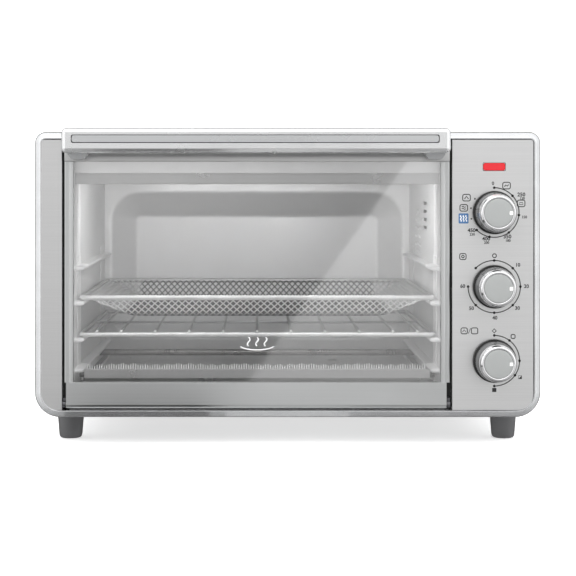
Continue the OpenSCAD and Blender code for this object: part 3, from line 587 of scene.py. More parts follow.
def make_materials():
    """One material for each CAD node, by what it is made of."""
    silver_paint = sheet_metal("silver_paint", (0.66, 0.67, 0.68), 0.34, 0.03, 18, 0.85)
    zinc = sheet_metal("zinc_coated_steel", (0.62, 0.63, 0.64), 0.38, 0.12)
    liner = liner_sheet("aluminised_liner", (0.71, 0.71, 0.71))
    screw = plated("screw_plating", (0.62, 0.62, 0.60), 0.2)
    sheath = sheet_metal("heater_sheath", (0.24, 0.235, 0.23), 0.3, 0.25, 60)
    aluminium = brushed("plain_aluminium", (0.76, 0.77, 0.78), 0.35, 500, 12)
    bakelite = moulded("switch_body", (0.50, 0.38, 0.22), 0.5)
    door_steel = brushed("door_steel", (0.66, 0.67, 0.67), 0.32)
    ground = brushed("ground_shaft", (0.55, 0.55, 0.55), 0.25, turn=(0, 0, math.pi / 2))
    table = {
        "outer_shell": silver_paint, "rear_cover": silver_paint, "base_plate": zinc,
        "front_bezel": moulded("bezel_silver", (0.72, 0.73, 0.74), 0.24, 2500, 0.04, 0.2, 0.85),
        "left_trim_plate": brushed("trim_brushed_steel", (0.80, 0.80, 0.80), 0.30),
        "control_panel": brushed("panel_brushed_steel", (0.86, 0.86, 0.86), 0.34, 1100, 10, 0.10),
        "indicator_lens": lens("indicator_red", (0.60, 0.012, 0.02)),
        "indicator_lamp": moulded("neon_bulb", (0.85, 0.45, 0.30), 0.15),
        "feet": moulded("foot_rubber", (0.085, 0.085, 0.088), 0.5, 1500, 0.3),
        "foot_screws": screw, "case_screws": screw, "handle_screws": screw,
        "cord_gland": moulded("black_nylon", (0.02, 0.02, 0.02), 0.45),
        "cavity_top": liner, "cavity_left_wall": liner, "cavity_right_wall": liner, "cavity_back_wall": liner,
        "cavity_floor": sheet_metal("floor_sheet", (0.16, 0.16, 0.16), 0.45, 0.1, 14, 0.4),
        "cavity_front_frame": mouth_frame_painted_gap_shade(),
        "upper_heater_guard": sheet_metal("guard_sheet", (0.74, 0.74, 0.74), 0.3, 0.05),
        "upper_front_element": sheath, "upper_rear_element": sheath,
        "lower_front_element": sheath, "lower_rear_element": sheath,
        "element_insulators": moulded("white_ceramic", (0.80, 0.79, 0.74), 0.4),
        "left_runner": liner, "right_runner": liner,
        "hinge_brackets": sheet_metal("dark_hinge_steel", (0.16, 0.16, 0.17), 0.4, 0.2),
        "control_bracket": zinc, "thermostat": bakelite, "toast_selector": bakelite,
        "timer_mechanism": sheet_metal("timer_case", (0.60, 0.60, 0.56), 0.35, 0.1),
        "heat_shield": aluminium, "fan_housing": aluminium, "fan_impeller": aluminium,
        "fan_motor": moulded("motor_enamel", (0.05, 0.05, 0.055), 0.4, 900, 0.3, 0.3),
        "internal_wiring": brushed("glass_sleeving", (0.75, 0.74, 0.70), 0.8, 2600, 2600, 0.5, None, 0.0, 0.6),
        "door_glass": pane_glass("door_pane", (0.93, 0.93, 0.93), 0.067),
        # painted shade: the door's top rail is coloured darker than the same steel of the other door strips
        "door_top_rail": brushed("top_rail_steel_painted_shade", (0.60, 0.60, 0.60), 0.32),
        "door_bottom_rail": door_steel, "door_left_stile": door_steel, "door_right_stile": door_steel,
        "door_handle": sheet_metal("handle_anodised", (0.83, 0.835, 0.84), 0.24, 0.02, 12, 0.9),
        "handle_insert": brushed("insert_brushed", (0.74, 0.75, 0.76), 0.28),
        "handle_brackets": moulded("bracket_grey", (0.30, 0.305, 0.31), 0.4, 2000, 0.1, 0.1, 0.4),
        "hinge_pins": screw, "fan_shaft": ground,
        "wire_rack": wire_chrome("rack_chrome", "wire_rack"), "basket_frame": wire_chrome("rim_chrome",
                                                                                          "basket_frame"),
        "basket_mesh": mesh_wire(),
        "crumb_tray": sheet_metal("tray_sheet", (0.50, 0.50, 0.50), 0.32, 0.08),
    }
    knob_chrome = plated("knob_chrome", (0.20, 0.205, 0.21), 0.24)
    for name in KNOBS:
        table[name + "_knob"] = knob_chrome
        table[name + "_knob_face"] = spun(name + "_face_metal", (0.53, 0.545, 0.54), middle(name + "_knob_face"))
        table[name + "_shaft"] = ground
    return table


MATERIALS = make_materials()


RIB_TOPS = [BEZEL_LOW[2] + h * MM for h in (45, 74.4, 109.3, 143)]

# ---------- casing ----------


def make_bezel():
    """Frame round the front: the profile (inset from the body's outline, depth behind the face) is carried round the
    rounded outline, from the back of the rim over the slanted face to the window, and two bars close the sides."""
    profile = [(0, 12), (0, 8.9), (0.12, 7.6), (0.45, 6.4), (0.95, 5.4), (1.5, 4.6), (2.0, 4.1), (5.0, 1.0),
               (5.5, 0.55),
               (6.0, 0.2), (6.6, 0), (7.0, 0.1), (7.2, 0.5), (7.3, 1.1), (7.3, 3), (7.3, 12)]
    low, high = (np.array([BEZEL_LOW[0], BEZEL_LOW[2]]), np.array([BEZEL_HIGH[0], BEZEL_HIGH[2]]))
    rings = []
    for inset, depth in profile:
        xz = rounded_outline(low, high, TOP_R, BOTTOM_R, inset * MM, steps=24)
        rings.append(np.stack([xz[:, 0], np.full(len(xz), FACE_Y + depth * MM), xz[:, 1]], 1))
    around = len(rings[0])
    parts = [(np.concatenate(rings), grid_faces(len(rings), around, wrap_rows=True, wrap_columns=True))]
    door_low, door_high = span("door_top_rail")[0][0], span("door_top_rail")[1][0]
    trim_low = span("left_trim_plate")[0][0]
    for x0, x1 in ((trim_low, door_low - 2.4 * MM), (door_high + 2.4 * MM, PANEL_HIGH[0])):
        parts.append(box_part((x0, FACE_Y + 3.05 * MM, BEZEL_LOW[2] + 8 * MM),
                              (x1, FACE_Y + 11.9 * MM, BEZEL_HIGH[2] - 8 * MM)))
    shape_piece("front_bezel_shape", parts, [MATERIALS["front_bezel"]], "oven", ("front_bezel",), 40)


def box_part(a, b):
    """(points, faces) of the box between two corners."""
    corners = np.array([[x, y, z] for x in (a[0], b[0]) for y in (a[1], b[1]) for z in (a[2], b[2])])
    faces = [(0, 1, 3, 2), (4, 6, 7, 5), (0, 4, 5, 1), (2, 3, 7, 6), (0, 2, 6, 4), (1, 5, 7, 3)]
    return corners, faces


def smooth_step(t):
    t = np.clip(t, 0, 1)
    return t * t * (3 - 2 * t)


def make_shell():
    """Wrap of the casing: the body's outline carried to the back as a grid of (way round, depth). The sides are pushed
    out by emboss * S(edge distance / 7 mm), with S a smooth step, and air slots are left open beside the controls."""
    low, high = span("outer_shell")
    flat_low, flat_high = np.array([low[0] + EMBOSS, low[2]]), np.array([high[0] - EMBOSS, high[2]])
    outline = rounded_outline(flat_low, flat_high, TOP_R, BOTTOM_R, steps=12, along=120)
    outline = outline[~((outline[:, 1] < low[2] + 0.5 * MM) & (np.abs(outline[:, 0]) < 0.19))]
    start = np.argmax(np.linalg.norm(outline - np.roll(outline, 1, 0), axis=1))
    outline = np.roll(outline, -start, 0)
    depth = np.linspace(low[1], high[1], 110)
    x, z = outline[:, None, 0] + 0 * depth, outline[:, None, 1] + 0 * depth
    y = depth + 0 * outline[:, :1]
    inside = np.minimum(np.minimum(z - low[2] - 43 * MM, high[2] - 21 * MM - z),
                        np.minimum(y - low[1] - 14 * MM, high[1] - 18 * MM - y))
    push = EMBOSS * smooth_step(inside / (7 * MM)) * (np.abs(x) > flat_high[0] - 1e-5)
    points = np.stack([x + np.sign(x) * push, y, z], 2).reshape(-1, 3)
    faces = grid_faces(*x.shape)
    centre = points[faces].mean(1)
    row = (centre[:, 2] - low[2] - 70 * MM) / (16 * MM)
    slot = ((centre[:, 0] > 0.2) & (np.abs(centre[:, 1] - FACE_Y - 230 * MM) < 30 * MM)
            & (row > 0) & (row < 7.3) & (row % 1 < 0.25))
    mesh = outward(mesh_from("outer_shell_shape", points, faces[~slot]))
    shell = new_object("outer_shell_shape", mesh, [MATERIALS["outer_shell"]], "oven", ("outer_shell",))
    wall = shell.modifiers.new("wall", "SOLIDIFY")
    wall.thickness = SHEET
    wall.offset = -1
    mesh.set_sharp_from_angle(angle=math.radians(35))


def make_feet():
    """Four turned feet: a cone that widens upwards, with a round lower edge."""
    low, high = span("feet")
    radius, tall = 13 * MM, high[2] - low[2]
    profile = [(0, 0), (7.4, 0), (8.6, 0.12), (9.6, 0.5), (10.4, 1.2), (10.9, 2.3), (11.2, 4),
               (12.9, tall / MM - 0.6), (12.7, tall / MM - 0.1), (0, tall / MM - 0.1)]
    profile = np.array(profile) * MM
    parts = []
    for x in (low[0] + radius, high[0] - radius):
        for y in (low[1] + radius, high[1] - radius):
            parts.append(turned(profile, (x, y, low[2]), "z", 48))
    shape_piece("feet_shape", parts, [MATERIALS["feet"]], "oven", ("feet",), 50)


# ---------- knobs ----------


def make_knob(name):
    """Turned knob: a dark skirt, a chrome body that narrows towards the front, and a bright ring round the face."""
    centre = middle(name + "_knob_face")
    centre[1] = span(name + "_knob")[1][1] - 0.5 * MM
    skirt = [(16.5, -0.3), (20.2, -0.3), (20.4, 0), (20.4, 3.3), (20.1, 4.0), (19.5, 4.4), (18.9, 4.5)]
    body = [(18.9, 4.5), (19.0, 5.0), (18.95, 8), (18.7, 12), (18.35, 16), (18.0, 19), (17.85, 20.2), (17.6, 20.5)]
    ring = [(17.6, 20.5), (17.65, 21.3), (17.5, 23.2), (17.2, 24.8), (16.7, 26.2), (16.0, 27.2), (15.3, 27.8),
            (14.6, 28),
            (13.9, 27.8), (13.5, 27.4), (13.4, 26.9), (13.4, 26.2), (0.01, 26.2)]
    parts = [turned(np.array(section) * MM, centre, steps=128) for section in (skirt, body, ring)]
    mesh = joined(name + "_knob_shape", parts)
    mesh.polygons.foreach_set("material_index", np.repeat([0, 1, 2], [len(f) for _, f in parts]))
    mesh.set_sharp_from_angle(angle=math.radians(55))
    outward(mesh)
    new_object(name + "_knob_shape", mesh, [KNOB_SKIRT, MATERIALS[name + "_knob"], KNOB_RING], name + "_control",
               (name + "_knob",))


def make_knob_face(name):
    """Matt disc in the ring, slightly crowned, with a raised white pointer mark at its right edge."""
    centre = middle(name + "_knob_face")
    front = span(name + "_knob_face")[0][1] + 0.3 * MM
    centre[1] = front
    profile = np.array([(13.3, -1.2), (13.3, -0.25), (13.1, -0.05), (12.7, 0), (9, 0.1), (4, 0.14),
                        (0.01, 0.15)]) * MM
    disc = turned(profile, centre, steps=96)
    shape_piece(name + "_knob_face_shape", [disc], [MATERIALS[name + "_knob_face"]], name + "_control",
                (name + "_knob_face",))
    a = centre + np.array([10, -0.3, -1.6]) * MM
    b = centre + np.array([13.2, 0.1, 1.6]) * MM
    pointer = mesh_from(name + "_pointer", *box_part(a, b), smooth=False)
    piece = new_object(name + "_pointer", outward(pointer), [POINTER_WHITE], name + "_control")
    edge = piece.modifiers.new("edges", "BEVEL")
    edge.width = 0.25 * MM
    edge.segments = 2


# ---------- door ----------


def ringed(outlines):
    """(points, faces) of a closed skin: rings of as many points each, joined in turn, with the first and last filled.
    Each ring is (outline of x and z, depth y)."""
    rings = [np.stack([xz[:, 0], np.full(len(xz), y), xz[:, 1]], 1) for xz, y in outlines]
    return np.concatenate(rings), tube_faces(len(rings), len(rings[0]))


def make_handle():
    """Bar handle: its rounded outline is carried from the hollow behind it, round the back edge and the wide front
    bevel, over the face and into the slot that takes the strip, as (inset, depth behind the face) pairs."""
    low, high = span("door_handle")
    insert_low, insert_high = span("handle_insert")
    flat_low, flat_high = low[[0, 2]], high[[0, 2]]
    hollow = (flat_low + (30 * MM, 4.8 * MM), flat_high - (30 * MM, 4.8 * MM))
    slot = (insert_low[[0, 2]] - 0.55 * MM, insert_high[[0, 2]] + 0.55 * MM)
    back = high[1]
    rings = [(rounded_outline(*hollow, 4 * MM, 4 * MM), back - 11 * MM),
             (rounded_outline(*hollow, 4 * MM, 4 * MM), back)]
    profile = [(0.9, 16), (0.3, 15.8), (0, 15.2), (0, 5.8), (0.1, 4.8), (0.35, 3.9), (0.75, 3.1), (1.2, 2.5),
               (1.6, 2.1),
               (2.9, 0.8), (3.3, 0.45), (3.7, 0.18), (4.2, 0), (4.6, 0)]
    for inset, depth in profile:
        rings.append((rounded_outline(flat_low, flat_high, 4.6 * MM, 4.6 * MM, inset * MM), low[1] + depth * MM))
    for grow, depth in ((0.1, 0), (0, 0.08), (0, 1.3)):
        rings.append((rounded_outline(*slot, 1.9 * MM, 1.9 * MM, -grow * MM), low[1] + depth * MM))
    skin = ringed(rings)
    mesh = joined("door_handle_shape", [skin])
    slot_faces = 2 * len(rings[0][0])
    dark = np.zeros(len(skin[1]), int)
    dark[-2 - slot_faces:-2] = 1
    dark[-1] = 1
    mesh.polygons.foreach_set("material_index", dark)
    outward(mesh)
    mesh.set_sharp_from_angle(angle=math.radians(30))
    new_object("door_handle_shape", mesh, [MATERIALS["door_handle"], SLOT_SHADE], "door", ("door_handle",))


def make_top_rail():
    """Top rail of the door: a section of (depth, height) with a narrow groove above its lower hem, carried along X."""
    low, high = span("door_top_rail")
    y, z = low[1], low[2]
    section = [(10, 0), (0.9, 0), (0.3, 0.15), (0, 0.5), (0, 9.3), (0.15, 9.6), (2.2, 9.7), (2.2, 10.7), (0.5, 10.8),
               (0.1, 11.1), (0, 11.5),
               (0, 18.4), (0.3, 19.1), (1.0, 19.5), (10, 19.5)]
    depth, height = np.array(section).T * MM
    x = np.linspace(low[0], high[0], 9)
    points = np.stack([np.repeat(x, len(depth)), np.tile(y + depth, len(x)), np.tile(z + height, len(x))], 1)
    faces = tube_faces(len(x), len(depth))
    shape_piece("door_top_rail_shape", [(points, faces)], [MATERIALS["door_top_rail"]], "door", ("door_top_rail",),
                30)


def make_tray_hem():
    """Fine upright bristles along the crumb tray's lip, of the same sheet but coloured far lighter than the tray as
    painted light: heights follow a slow and a quick wave.
    """
    low, high = span("crumb_tray")
    x = np.arange(low[0] + 3 * MM, high[0] - 3 * MM, 2.3 * MM)
    tall = (5.0 + 0.5 * np.sin(x / (9 * MM)) + 0.8 * np.sin(x / (1.7 * MM))) * MM
    corners = np.array([[-1, 0, 0], [1, 0, 0], [1, 1, 0], [-1, 1, 0], [-0.5, 0, 1], [0.5, 0, 1], [0.5, 1, 1],
                        [-0.5, 1, 1]])
    size = np.stack([np.full(len(x), 0.5 * MM), np.full(len(x), 0.6 * MM), tall], 1)
    base = np.stack([x, np.full(len(x), low[1] + 1.2 * MM), np.full(len(x), high[2] - 0.6 * MM)], 1)
    points = (base[:, None] + corners * size[:, None]).reshape(-1, 3)
    quads = np.array([(0, 1, 5, 4), (1, 2, 6, 5), (2, 3, 7, 6), (3, 0, 4, 7), (4, 5, 6, 7), (3, 2, 1, 0)])
    faces = (quads[None] + 8 * np.arange(len(x))[:, None, None]).reshape(-1, 4)
    piece = new_object("tray_hem", outward(mesh_from("tray_hem", points, faces, False)), [HEM_STEEL_PAINTED_LIGHT], "tray")


def make_stiles():
    """Two upright door strips: a section across the strip, flat outside and slanted towards the glass, carried up."""
    for name, out in (("door_left_stile", -1), ("door_right_stile", 1)):
        low, high = span(name)
        width = high[0] - low[0]
        y0, y1 = low[1], high[1]
        section = [(0, y1), (0, y0 + 1.1 * MM), (0.25 * MM, y0 + 0.4 * MM), (0.9 * MM, y0 + 0.05 * MM),
                   (1.5 * MM, y0),
                   (0.5 * width, y0), (0.56 * width, y0 + 0.25 * MM), (0.6 * width, y0 + 0.8 * MM),
                   (0.66 * width, y0 + 1.15 * MM),
                   (0.92 * width, y0 + 1.7 * MM), (width - 0.1 * MM, y0 + 1.9 * MM), (width, y0 + 2.2 * MM),
                   (width, y1)]
        outer = low[0] if out < 0 else high[0]
        x = outer - out * np.array([a for a, _ in section])
        y = np.array([b for _, b in section])
        z = np.array([low[2], high[2]])
        points = np.stack([np.tile(x, 2), np.tile(y, 2), np.repeat(z, len(x))], 1)
        faces = tube_faces(2, len(x))
        shape_piece(name + "_shape", [(points, faces)], [MATERIALS[name]], "door", (name,), 28)


# ---------- printing on the panel and the pane ----------


def band_part(points, width, y, thick, closed=False):
    """(points, faces) of a printed line of some width along points (x, z): offset half the width to each side, square
    to the line, and raised by thick in front of depth y."""
    points = np.asarray(points, float)
    if closed:
        ahead = np.roll(points, -1, 0) - np.roll(points, 1, 0)
    else:
        ahead = np.gradient(points, axis=0)
    ahead /= np.linalg.norm(ahead, axis=1)[:, None]
    side = np.column_stack([-ahead[:, 1], ahead[:, 0]]) * width / 2
    rings = [np.stack([p[:, 0], np.full(len(p), d), p[:, 1]], 1) for p, d in
             ((points - side, y), (points - side, y - thick), (points + side, y - thick), (points + side, y))]
    return np.stack(rings, 1).reshape(-1, 3), tube_faces(len(points), 4, closed)


def dot_part(x, z, radius, y, thick, sides=20):
    t = np.linspace(0, 2 * np.pi, sides, endpoint=False)
    outline = np.stack([x + radius * np.cos(t), z + radius * np.sin(t)], 1)
    return ringed([(outline, y), (outline, y - thick)])


def on_dial(centre, angle, radius):
    """Point (x, z) on a dial; the angle runs clockwise from the top, in degrees."""
    a = math.radians(angle)
    return centre[0] + radius * math.sin(a) * MM, centre[2] + radius * math.cos(a) * MM


def round_box(x, z, width, height, radius, steps=5):
    return rounded_outline((x - width / 2, z - height / 2), (x + width / 2, z + height / 2), radius, radius,
                           steps=steps)


def figures(label, x, z, tall, y, thick):
    """(points, faces) of dial figures centred on (x, z), made from a text curve turned to face the front."""
    curve = bpy.data.curves.new("figures", "FONT")
    curve.body = label
    curve.size = tall * 1.42
    curve.extrude = thick / 2
    curve.offset = 0.045 * tall
    curve.align_x, curve.align_y = "CENTER", "CENTER"
    curve.resolution_u = 3
    text = bpy.data.objects.new("figures", curve)
    bpy.context.collection.objects.link(text)
    bpy.context.view_layer.update()
    mesh = bpy.data.meshes.new_from_object(text.evaluated_get(bpy.context.evaluated_depsgraph_get()))
    flat = np.zeros(len(mesh.vertices) * 3)
    mesh.vertices.foreach_get("co", flat)
    flat = flat.reshape(-1, 3)
    points = np.stack([x + flat[:, 0], y - thick / 2 - flat[:, 2], z + flat[:, 1]], 1)
    faces = [list(f.vertices) for f in mesh.polygons]
    bpy.data.objects.remove(text)
    bpy.data.curves.remove(curve)
    bpy.data.meshes.remove(mesh)
    return points, faces


INK_THICK = 0.05 * MM


def print_dials():
    """Black scales round the three knobs: arcs, dots, figures and small pictures of food and heat."""
    y = PANEL_LOW[1]
    fine, bold = 0.85 * MM, 0.95 * MM
    ink, blue = [], []

    def arc(centre, radius, start, end):
        ring = [on_dial(centre, a, radius) for a in np.linspace(start, end, 90)]
        ink.append(band_part(ring, bold, y, INK_THICK))

    def dot(centre, radius, angle, size=1.25):
        ink.append(dot_part(*on_dial(centre, angle, radius), size * MM, y, INK_THICK))

    def write(label, centre, dx, dz, tall):
        ink.append(figures(label, centre[0] + dx * MM, centre[2] + dz * MM, tall * MM, y, INK_THICK))

    def line(points, centre, dx, dz, width=fine, closed=False):
        spots = np.array(points) * MM + (centre[0] + dx * MM, centre[2] + dz * MM)
        ink.append(band_part(spots, width, y, INK_THICK, closed))

    def outline_box(centre, dx, dz, width=7.2, height=6.2, radius=1.7, into=None):
        xz = round_box(centre[0] + dx * MM, centre[2] + dz * MM, width * MM, height * MM, radius * MM)
        (ink if into is None else into).append(band_part(xz, fine, y, INK_THICK, True))

    top, mid, low = (middle(name + "_knob_face") for name in KNOBS)
    lens_low, lens_high = (corner[[0, 2]] for corner in span("indicator_lens"))
    ink.append(band_part(rounded_outline(lens_low, lens_high, 2.5 * MM, 2.5 * MM, 1.95 * MM), 0.5 * MM, y, INK_THICK,
                         True))
    # temperature
    arc(top, 23.4, 0, 225)
    for angle in (0, 47.5, 96, 144, 191, 225):
        dot(top, 23.4, angle)
    for angle in (254.7, 280.4, 305.3):
        dot(top, 22.4, angle, 0.8)
    for label, dx, dz, tall in (("0", -1.2, 27.4, 3.1), ("250", 25.6, 16.8, 3.5), ("120", 26.4, 13.3, 2.3),
                                ("150", 28.4, -4.4, 2.4),
                                ("350", 12.4, -22.9, 3.5), ("180", 13.0, -26.6, 2.3), ("400", -7.6, -24.9, 3.5),
                                ("200", -7.2, -28.5, 2.3), ("450", -21.4, -17.0, 3.5), ("230", -20.8, -20.8, 2.3)):
        write(label, top, dx, dz, tall)
    for dx, dz in ((11.6, 25.4), (25.4, 8.6), (-26.2, 14.0), (-28.8, 4.4)):
        outline_box(top, dx, dz)
    line([(-2, -1), (-0.6, 0.6), (0.7, -0.5), (2, 1)], top, 11.6, 25.4, 0.9 * MM)
    line([(-1.9, -1.1), (1.9, -1.1), (1.2, 0.9), (-1.2, 0.9)], top, 25.4, 8.6, 0.6 * MM, True)
    line([(-1.9, -1.2), (0, 1.3), (1.9, -1.2)], top, -26.2, 14.0, 0.9 * MM)
    for dz in (1.0, -0.9):
        line([(-2, dz), (-0.7, dz + 0.5), (0.7, dz - 0.5), (2, dz)], top, -28.8, 4.4, 0.8 * MM)
    # the coloured field stands for air frying: three rising waves
    x, z = top[0] - 29.0 * MM, top[2] - 5.6 * MM
    field = round_box(x, z, 9.4 * MM, 9.6 * MM, 1.0 * MM)
    blue.append(ringed([(field, y), (field, y - INK_THICK)]))
    white = []
    for dx in (-2.5, 0, 2.5):
        wave = [(x + (dx + 0.55 * math.sin(2.2 * t)) * MM, z + t * MM) for t in np.linspace(-2.9, 2.9, 14)]
        white.append(band_part(wave, 0.8 * MM, y - INK_THICK, INK_THICK / 2))
    # timer
    arc(mid, 24.7, -45, 270)
    for angle in range(-45, 271, 45):
        dot(mid, 24.7, angle)
    for label, dx, dz in (("10", 22.2, 20.4), ("20", 30.4, 0.2), ("30", 21.9, -20.4), ("40", 0.6, -29.6),
                          ("50", -21.5, -20.6), ("60", -29.8, 0.3)):
        write(label, mid, dx, dz, 3.3)
    ink.append(band_part(round_box(mid[0] + 0.2 * MM, mid[2] + 29.2 * MM, 3.6 * MM, 3.6 * MM, 1.79 * MM, 8), fine, y,
                         INK_THICK, True))
    outline_box(mid, -29.6, 28.4, 6, 5.6, 1.5)
    ink.append(band_part(round_box(mid[0] - 29.6 * MM, mid[2] + 28.4 * MM, 2.4 * MM, 2.4 * MM, 1.19 * MM, 8), fine,
                         y, INK_THICK, True))
    # toast
    arc(low, 23.9, 0, 180)
    for angle in (0, 37, 90, 125, 180):
        dot(low, 23.9, angle)
    line([(0, -1.9), (1.9, 0), (0, 1.9), (-1.9, 0)], low, 0, 28.2, fine, True)
    outline_box(low, 17.8, 22.9, 3.7, 3.7, 1.1)
    line([(-1.5, -1.5), (1.5, -1.5), (1.5, 1.5), (-1.5, 1.5)], low, 24.4, -15.6, 0.45 * MM, True)
    corner = np.array([(-1.5, -1.5), (1.5, -1.5), (1.5, 1.5)]) * MM + (low[0] + 24.4 * MM, low[2] - 15.6 * MM)
    ink.append(ringed([(corner, y), (corner, y - INK_THICK)]))
    square = round_box(low[0], low[2] - 27.6 * MM, 3.9 * MM, 3.9 * MM, 0.3 * MM)
    ink.append(ringed([(square, y), (square, y - INK_THICK)]))
    outline_box(low, -28.4, 28.2, 6, 5.6, 1.6)
    line([(-1.6, -1.1), (0, 1.1), (1.6, -1.1)], low, -28.4, 28.2, 0.7 * MM)
    line([(-1.1, -2.6), (1.1, 2.6)], low, -23.4, 28.2, 0.5 * MM)
    outline_box(low, -18.6, 28.2, 6, 5.6, 1.4)
    for name, parts, material in (("dial_print", ink, INK), ("blue_field", blue, BLUE_INK),
                                  ("field_waves", white, POINTER_WHITE)):
        piece = shape_piece(name, parts, [material], "oven", smooth=False)


def print_pane():
    """Pale mark printed on the pane: a plate with three waves of heat rising over it."""
    y = GLASS_LOW[1]
    x, z = (GLASS_LOW[0] + GLASS_HIGH[0]) / 2, GLASS_LOW[2] + 40.5 * MM
    parts = []
    for dx in (-8, 0, 8):
        wave = [(x + (dx + 1.3 * math.sin(0.75 * t)) * MM, z + (t + 2) * MM) for t in np.linspace(-4.2, 4.2, 24)]
        parts.append(band_part(wave, 1.1 * MM, y, INK_THICK))
    dish = [(x + 16 * math.sin(a) * MM, z - (1.5 + 4.2 * math.cos(a)) * MM) for a in np.linspace(-1.35, 1.35, 30)]
    parts.append(band_part(dish, 1.1 * MM, y, INK_THICK))
    piece = shape_piece("pane_mark", parts, [GLASS_INK], "door", smooth=False)


# ---------- cavity ----------


def rounded_distance(x, z, low, high, radius):
    """Distance inside a rectangle with round corners: positive within it, negative outside."""
    cx, cz = (low + high) / 2
    hx, hz = (high - low) / 2 - radius
    dx, dz = np.abs(x - cx) - hx, np.abs(z - cz) - hz
    return radius - np.hypot(np.maximum(dx, 0), np.maximum(dz, 0)) - np.minimum(np.maximum(dx, dz), 0)


def make_back_wall():
    """Back wall with its pressed recess: depth = 35 mm times a smooth step of the distance inside the rounded contour,
    over the width of the sloping band, on a grid of (x, z)."""
    low, high = span("cavity_back_wall")
    x, z = np.meshgrid(np.linspace(low[0], high[0], 190), np.linspace(low[2], high[2], 120))
    outer_low, outer_high = np.array([low[0] + 7 * MM, low[2] + 17 * MM]), np.array([high[0] - 7 * MM,
                                                                                     high[2] - 21 * MM])
    d = rounded_distance(x, z, outer_low, outer_high, 34 * MM)
    band = 30 * MM
    t = np.clip(d / band, 0, 1)
    soft = 0.13
    depth = np.where(t < soft, t * t / (2 * soft), np.where(t > 1 - soft, 1 - soft - (1 - t) ** 2 / (2 * soft),
                                                            t - soft / 2)) / (1 - soft)
    wall = high[1] - low[1] - 1 * MM
    points = np.stack([x, low[1] + wall * depth, z], 2).reshape(-1, 3)
    mesh = mesh_from("cavity_back_shape", points, grid_faces(*x.shape))
    piece = new_object("cavity_back_shape", mesh, [MATERIALS["cavity_back_wall"]], "oven", ("cavity_back_wall",))
    thick = piece.modifiers.new("wall", "SOLIDIFY")
    thick.thickness = SHEET
    thick.offset = 1 if mesh.polygons[0].normal.y > 0 else -1


def make_runners():
    """Pressed ribs that carry the rack and the basket: half a rounded bar stands out of the wall, x = proud * sqrt(1 -
    (2 t)^4) over its height, and shrinks to a round nose at the front end; two strips hold the ribs."""
    for name, out in (("left_runner", -1), ("right_runner", 1)):
        low, high = span(name)
        wall = low[0] if out < 0 else high[0]
        proud, tall = high[0] - low[0], 5 * MM
        parts = []
        for top in RIB_TOPS:
            t = np.linspace(-0.5, 0.5, 13)
            along = np.concatenate([np.linspace(0, 1, 9) ** 2 * 4 * MM, np.linspace(6 * MM, high[1] - low[1], 12)])
            nose = np.sqrt(np.clip(1 - (1 - np.clip(along / (4 * MM), 0, 1)) ** 2, 0.02, 1))
            bulge = np.sqrt(np.clip(1 - (2 * np.abs(t)) ** 4, 0, 1))
            x = wall - out * proud * nose[:, None] * bulge
            z = top - tall / 2 + tall * nose[:, None] * t
            y = low[1] + along[:, None] + 0 * t
            points = np.stack([x, y, z], 2).reshape(-1, 3)
            parts.append((points, tube_faces(len(along), len(t))))
        for y in (low[1] + 22 * MM, low[1] + 244 * MM):
            a, b = (wall, y, low[2]), (wall - out * 0.7 * MM, y + 24 * MM, high[2])
            parts.append(box_part(np.minimum(a, b), np.maximum(a, b)))
        shape_piece(name + "_shape", parts, [MATERIALS[name]], "oven", (name,), 50)


def rod_loop(low, high, radius, corner):
    """Points of a flat rectangular loop with round corners at the loop's own height."""
    outline = rounded_outline((low[0] + radius, low[1] + radius), (high[0] - radius, high[1] - radius), corner,
                              corner, steps=10)
    return np.column_stack([outline, np.full(len(outline), (low[2] + high[2]) / 2)])


def make_rack():
    """Wire rack: a round loop, wires from front to back welded on top of it, and one cross wire under them."""
    low, high = span("wire_rack")
    rod, wire = 2.1 * MM, 1.3 * MM
    loop_low = np.array([low[0], low[1] + 0.6 * MM, low[2]])
    loop_high = np.array([high[0], high[1] - 0.6 * MM, low[2] + 2 * rod])
    parts = [tube(rod_loop(loop_low, loop_high, rod, 4.1 * MM), rod, 16, closed=True)]
    centre, top = (low[0] + high[0]) / 2, high[2] - wire
    for x in [centre + i * 32.6 * MM for i in range(-4, 5)] + [centre - 153.5 * MM, centre + 153.5 * MM]:
        parts.append(tube([(x, low[1], top), (x, (low[1] + high[1]) / 2, top), (x, high[1], top)], wire, 12))
    y, z = (low[1] + high[1]) / 2, loop_low[2] + rod
    parts.append(tube([(low[0] + rod, y, z), (centre, y, z), (high[0] - rod, y, z)], wire, 12))
    shape_piece("wire_rack_shape", parts, [MATERIALS["wire_rack"]], "rack", ("wire_rack",))


def make_basket_frame():
    low, high = span("basket_frame")
    rim = 2.4 * MM
    loop = tube(rod_loop(low, high, rim, 4.5 * MM), rim, 20, closed=True)
    shape_piece("basket_rim", [loop], [MATERIALS["basket_frame"]], "basket", ("basket_frame",))


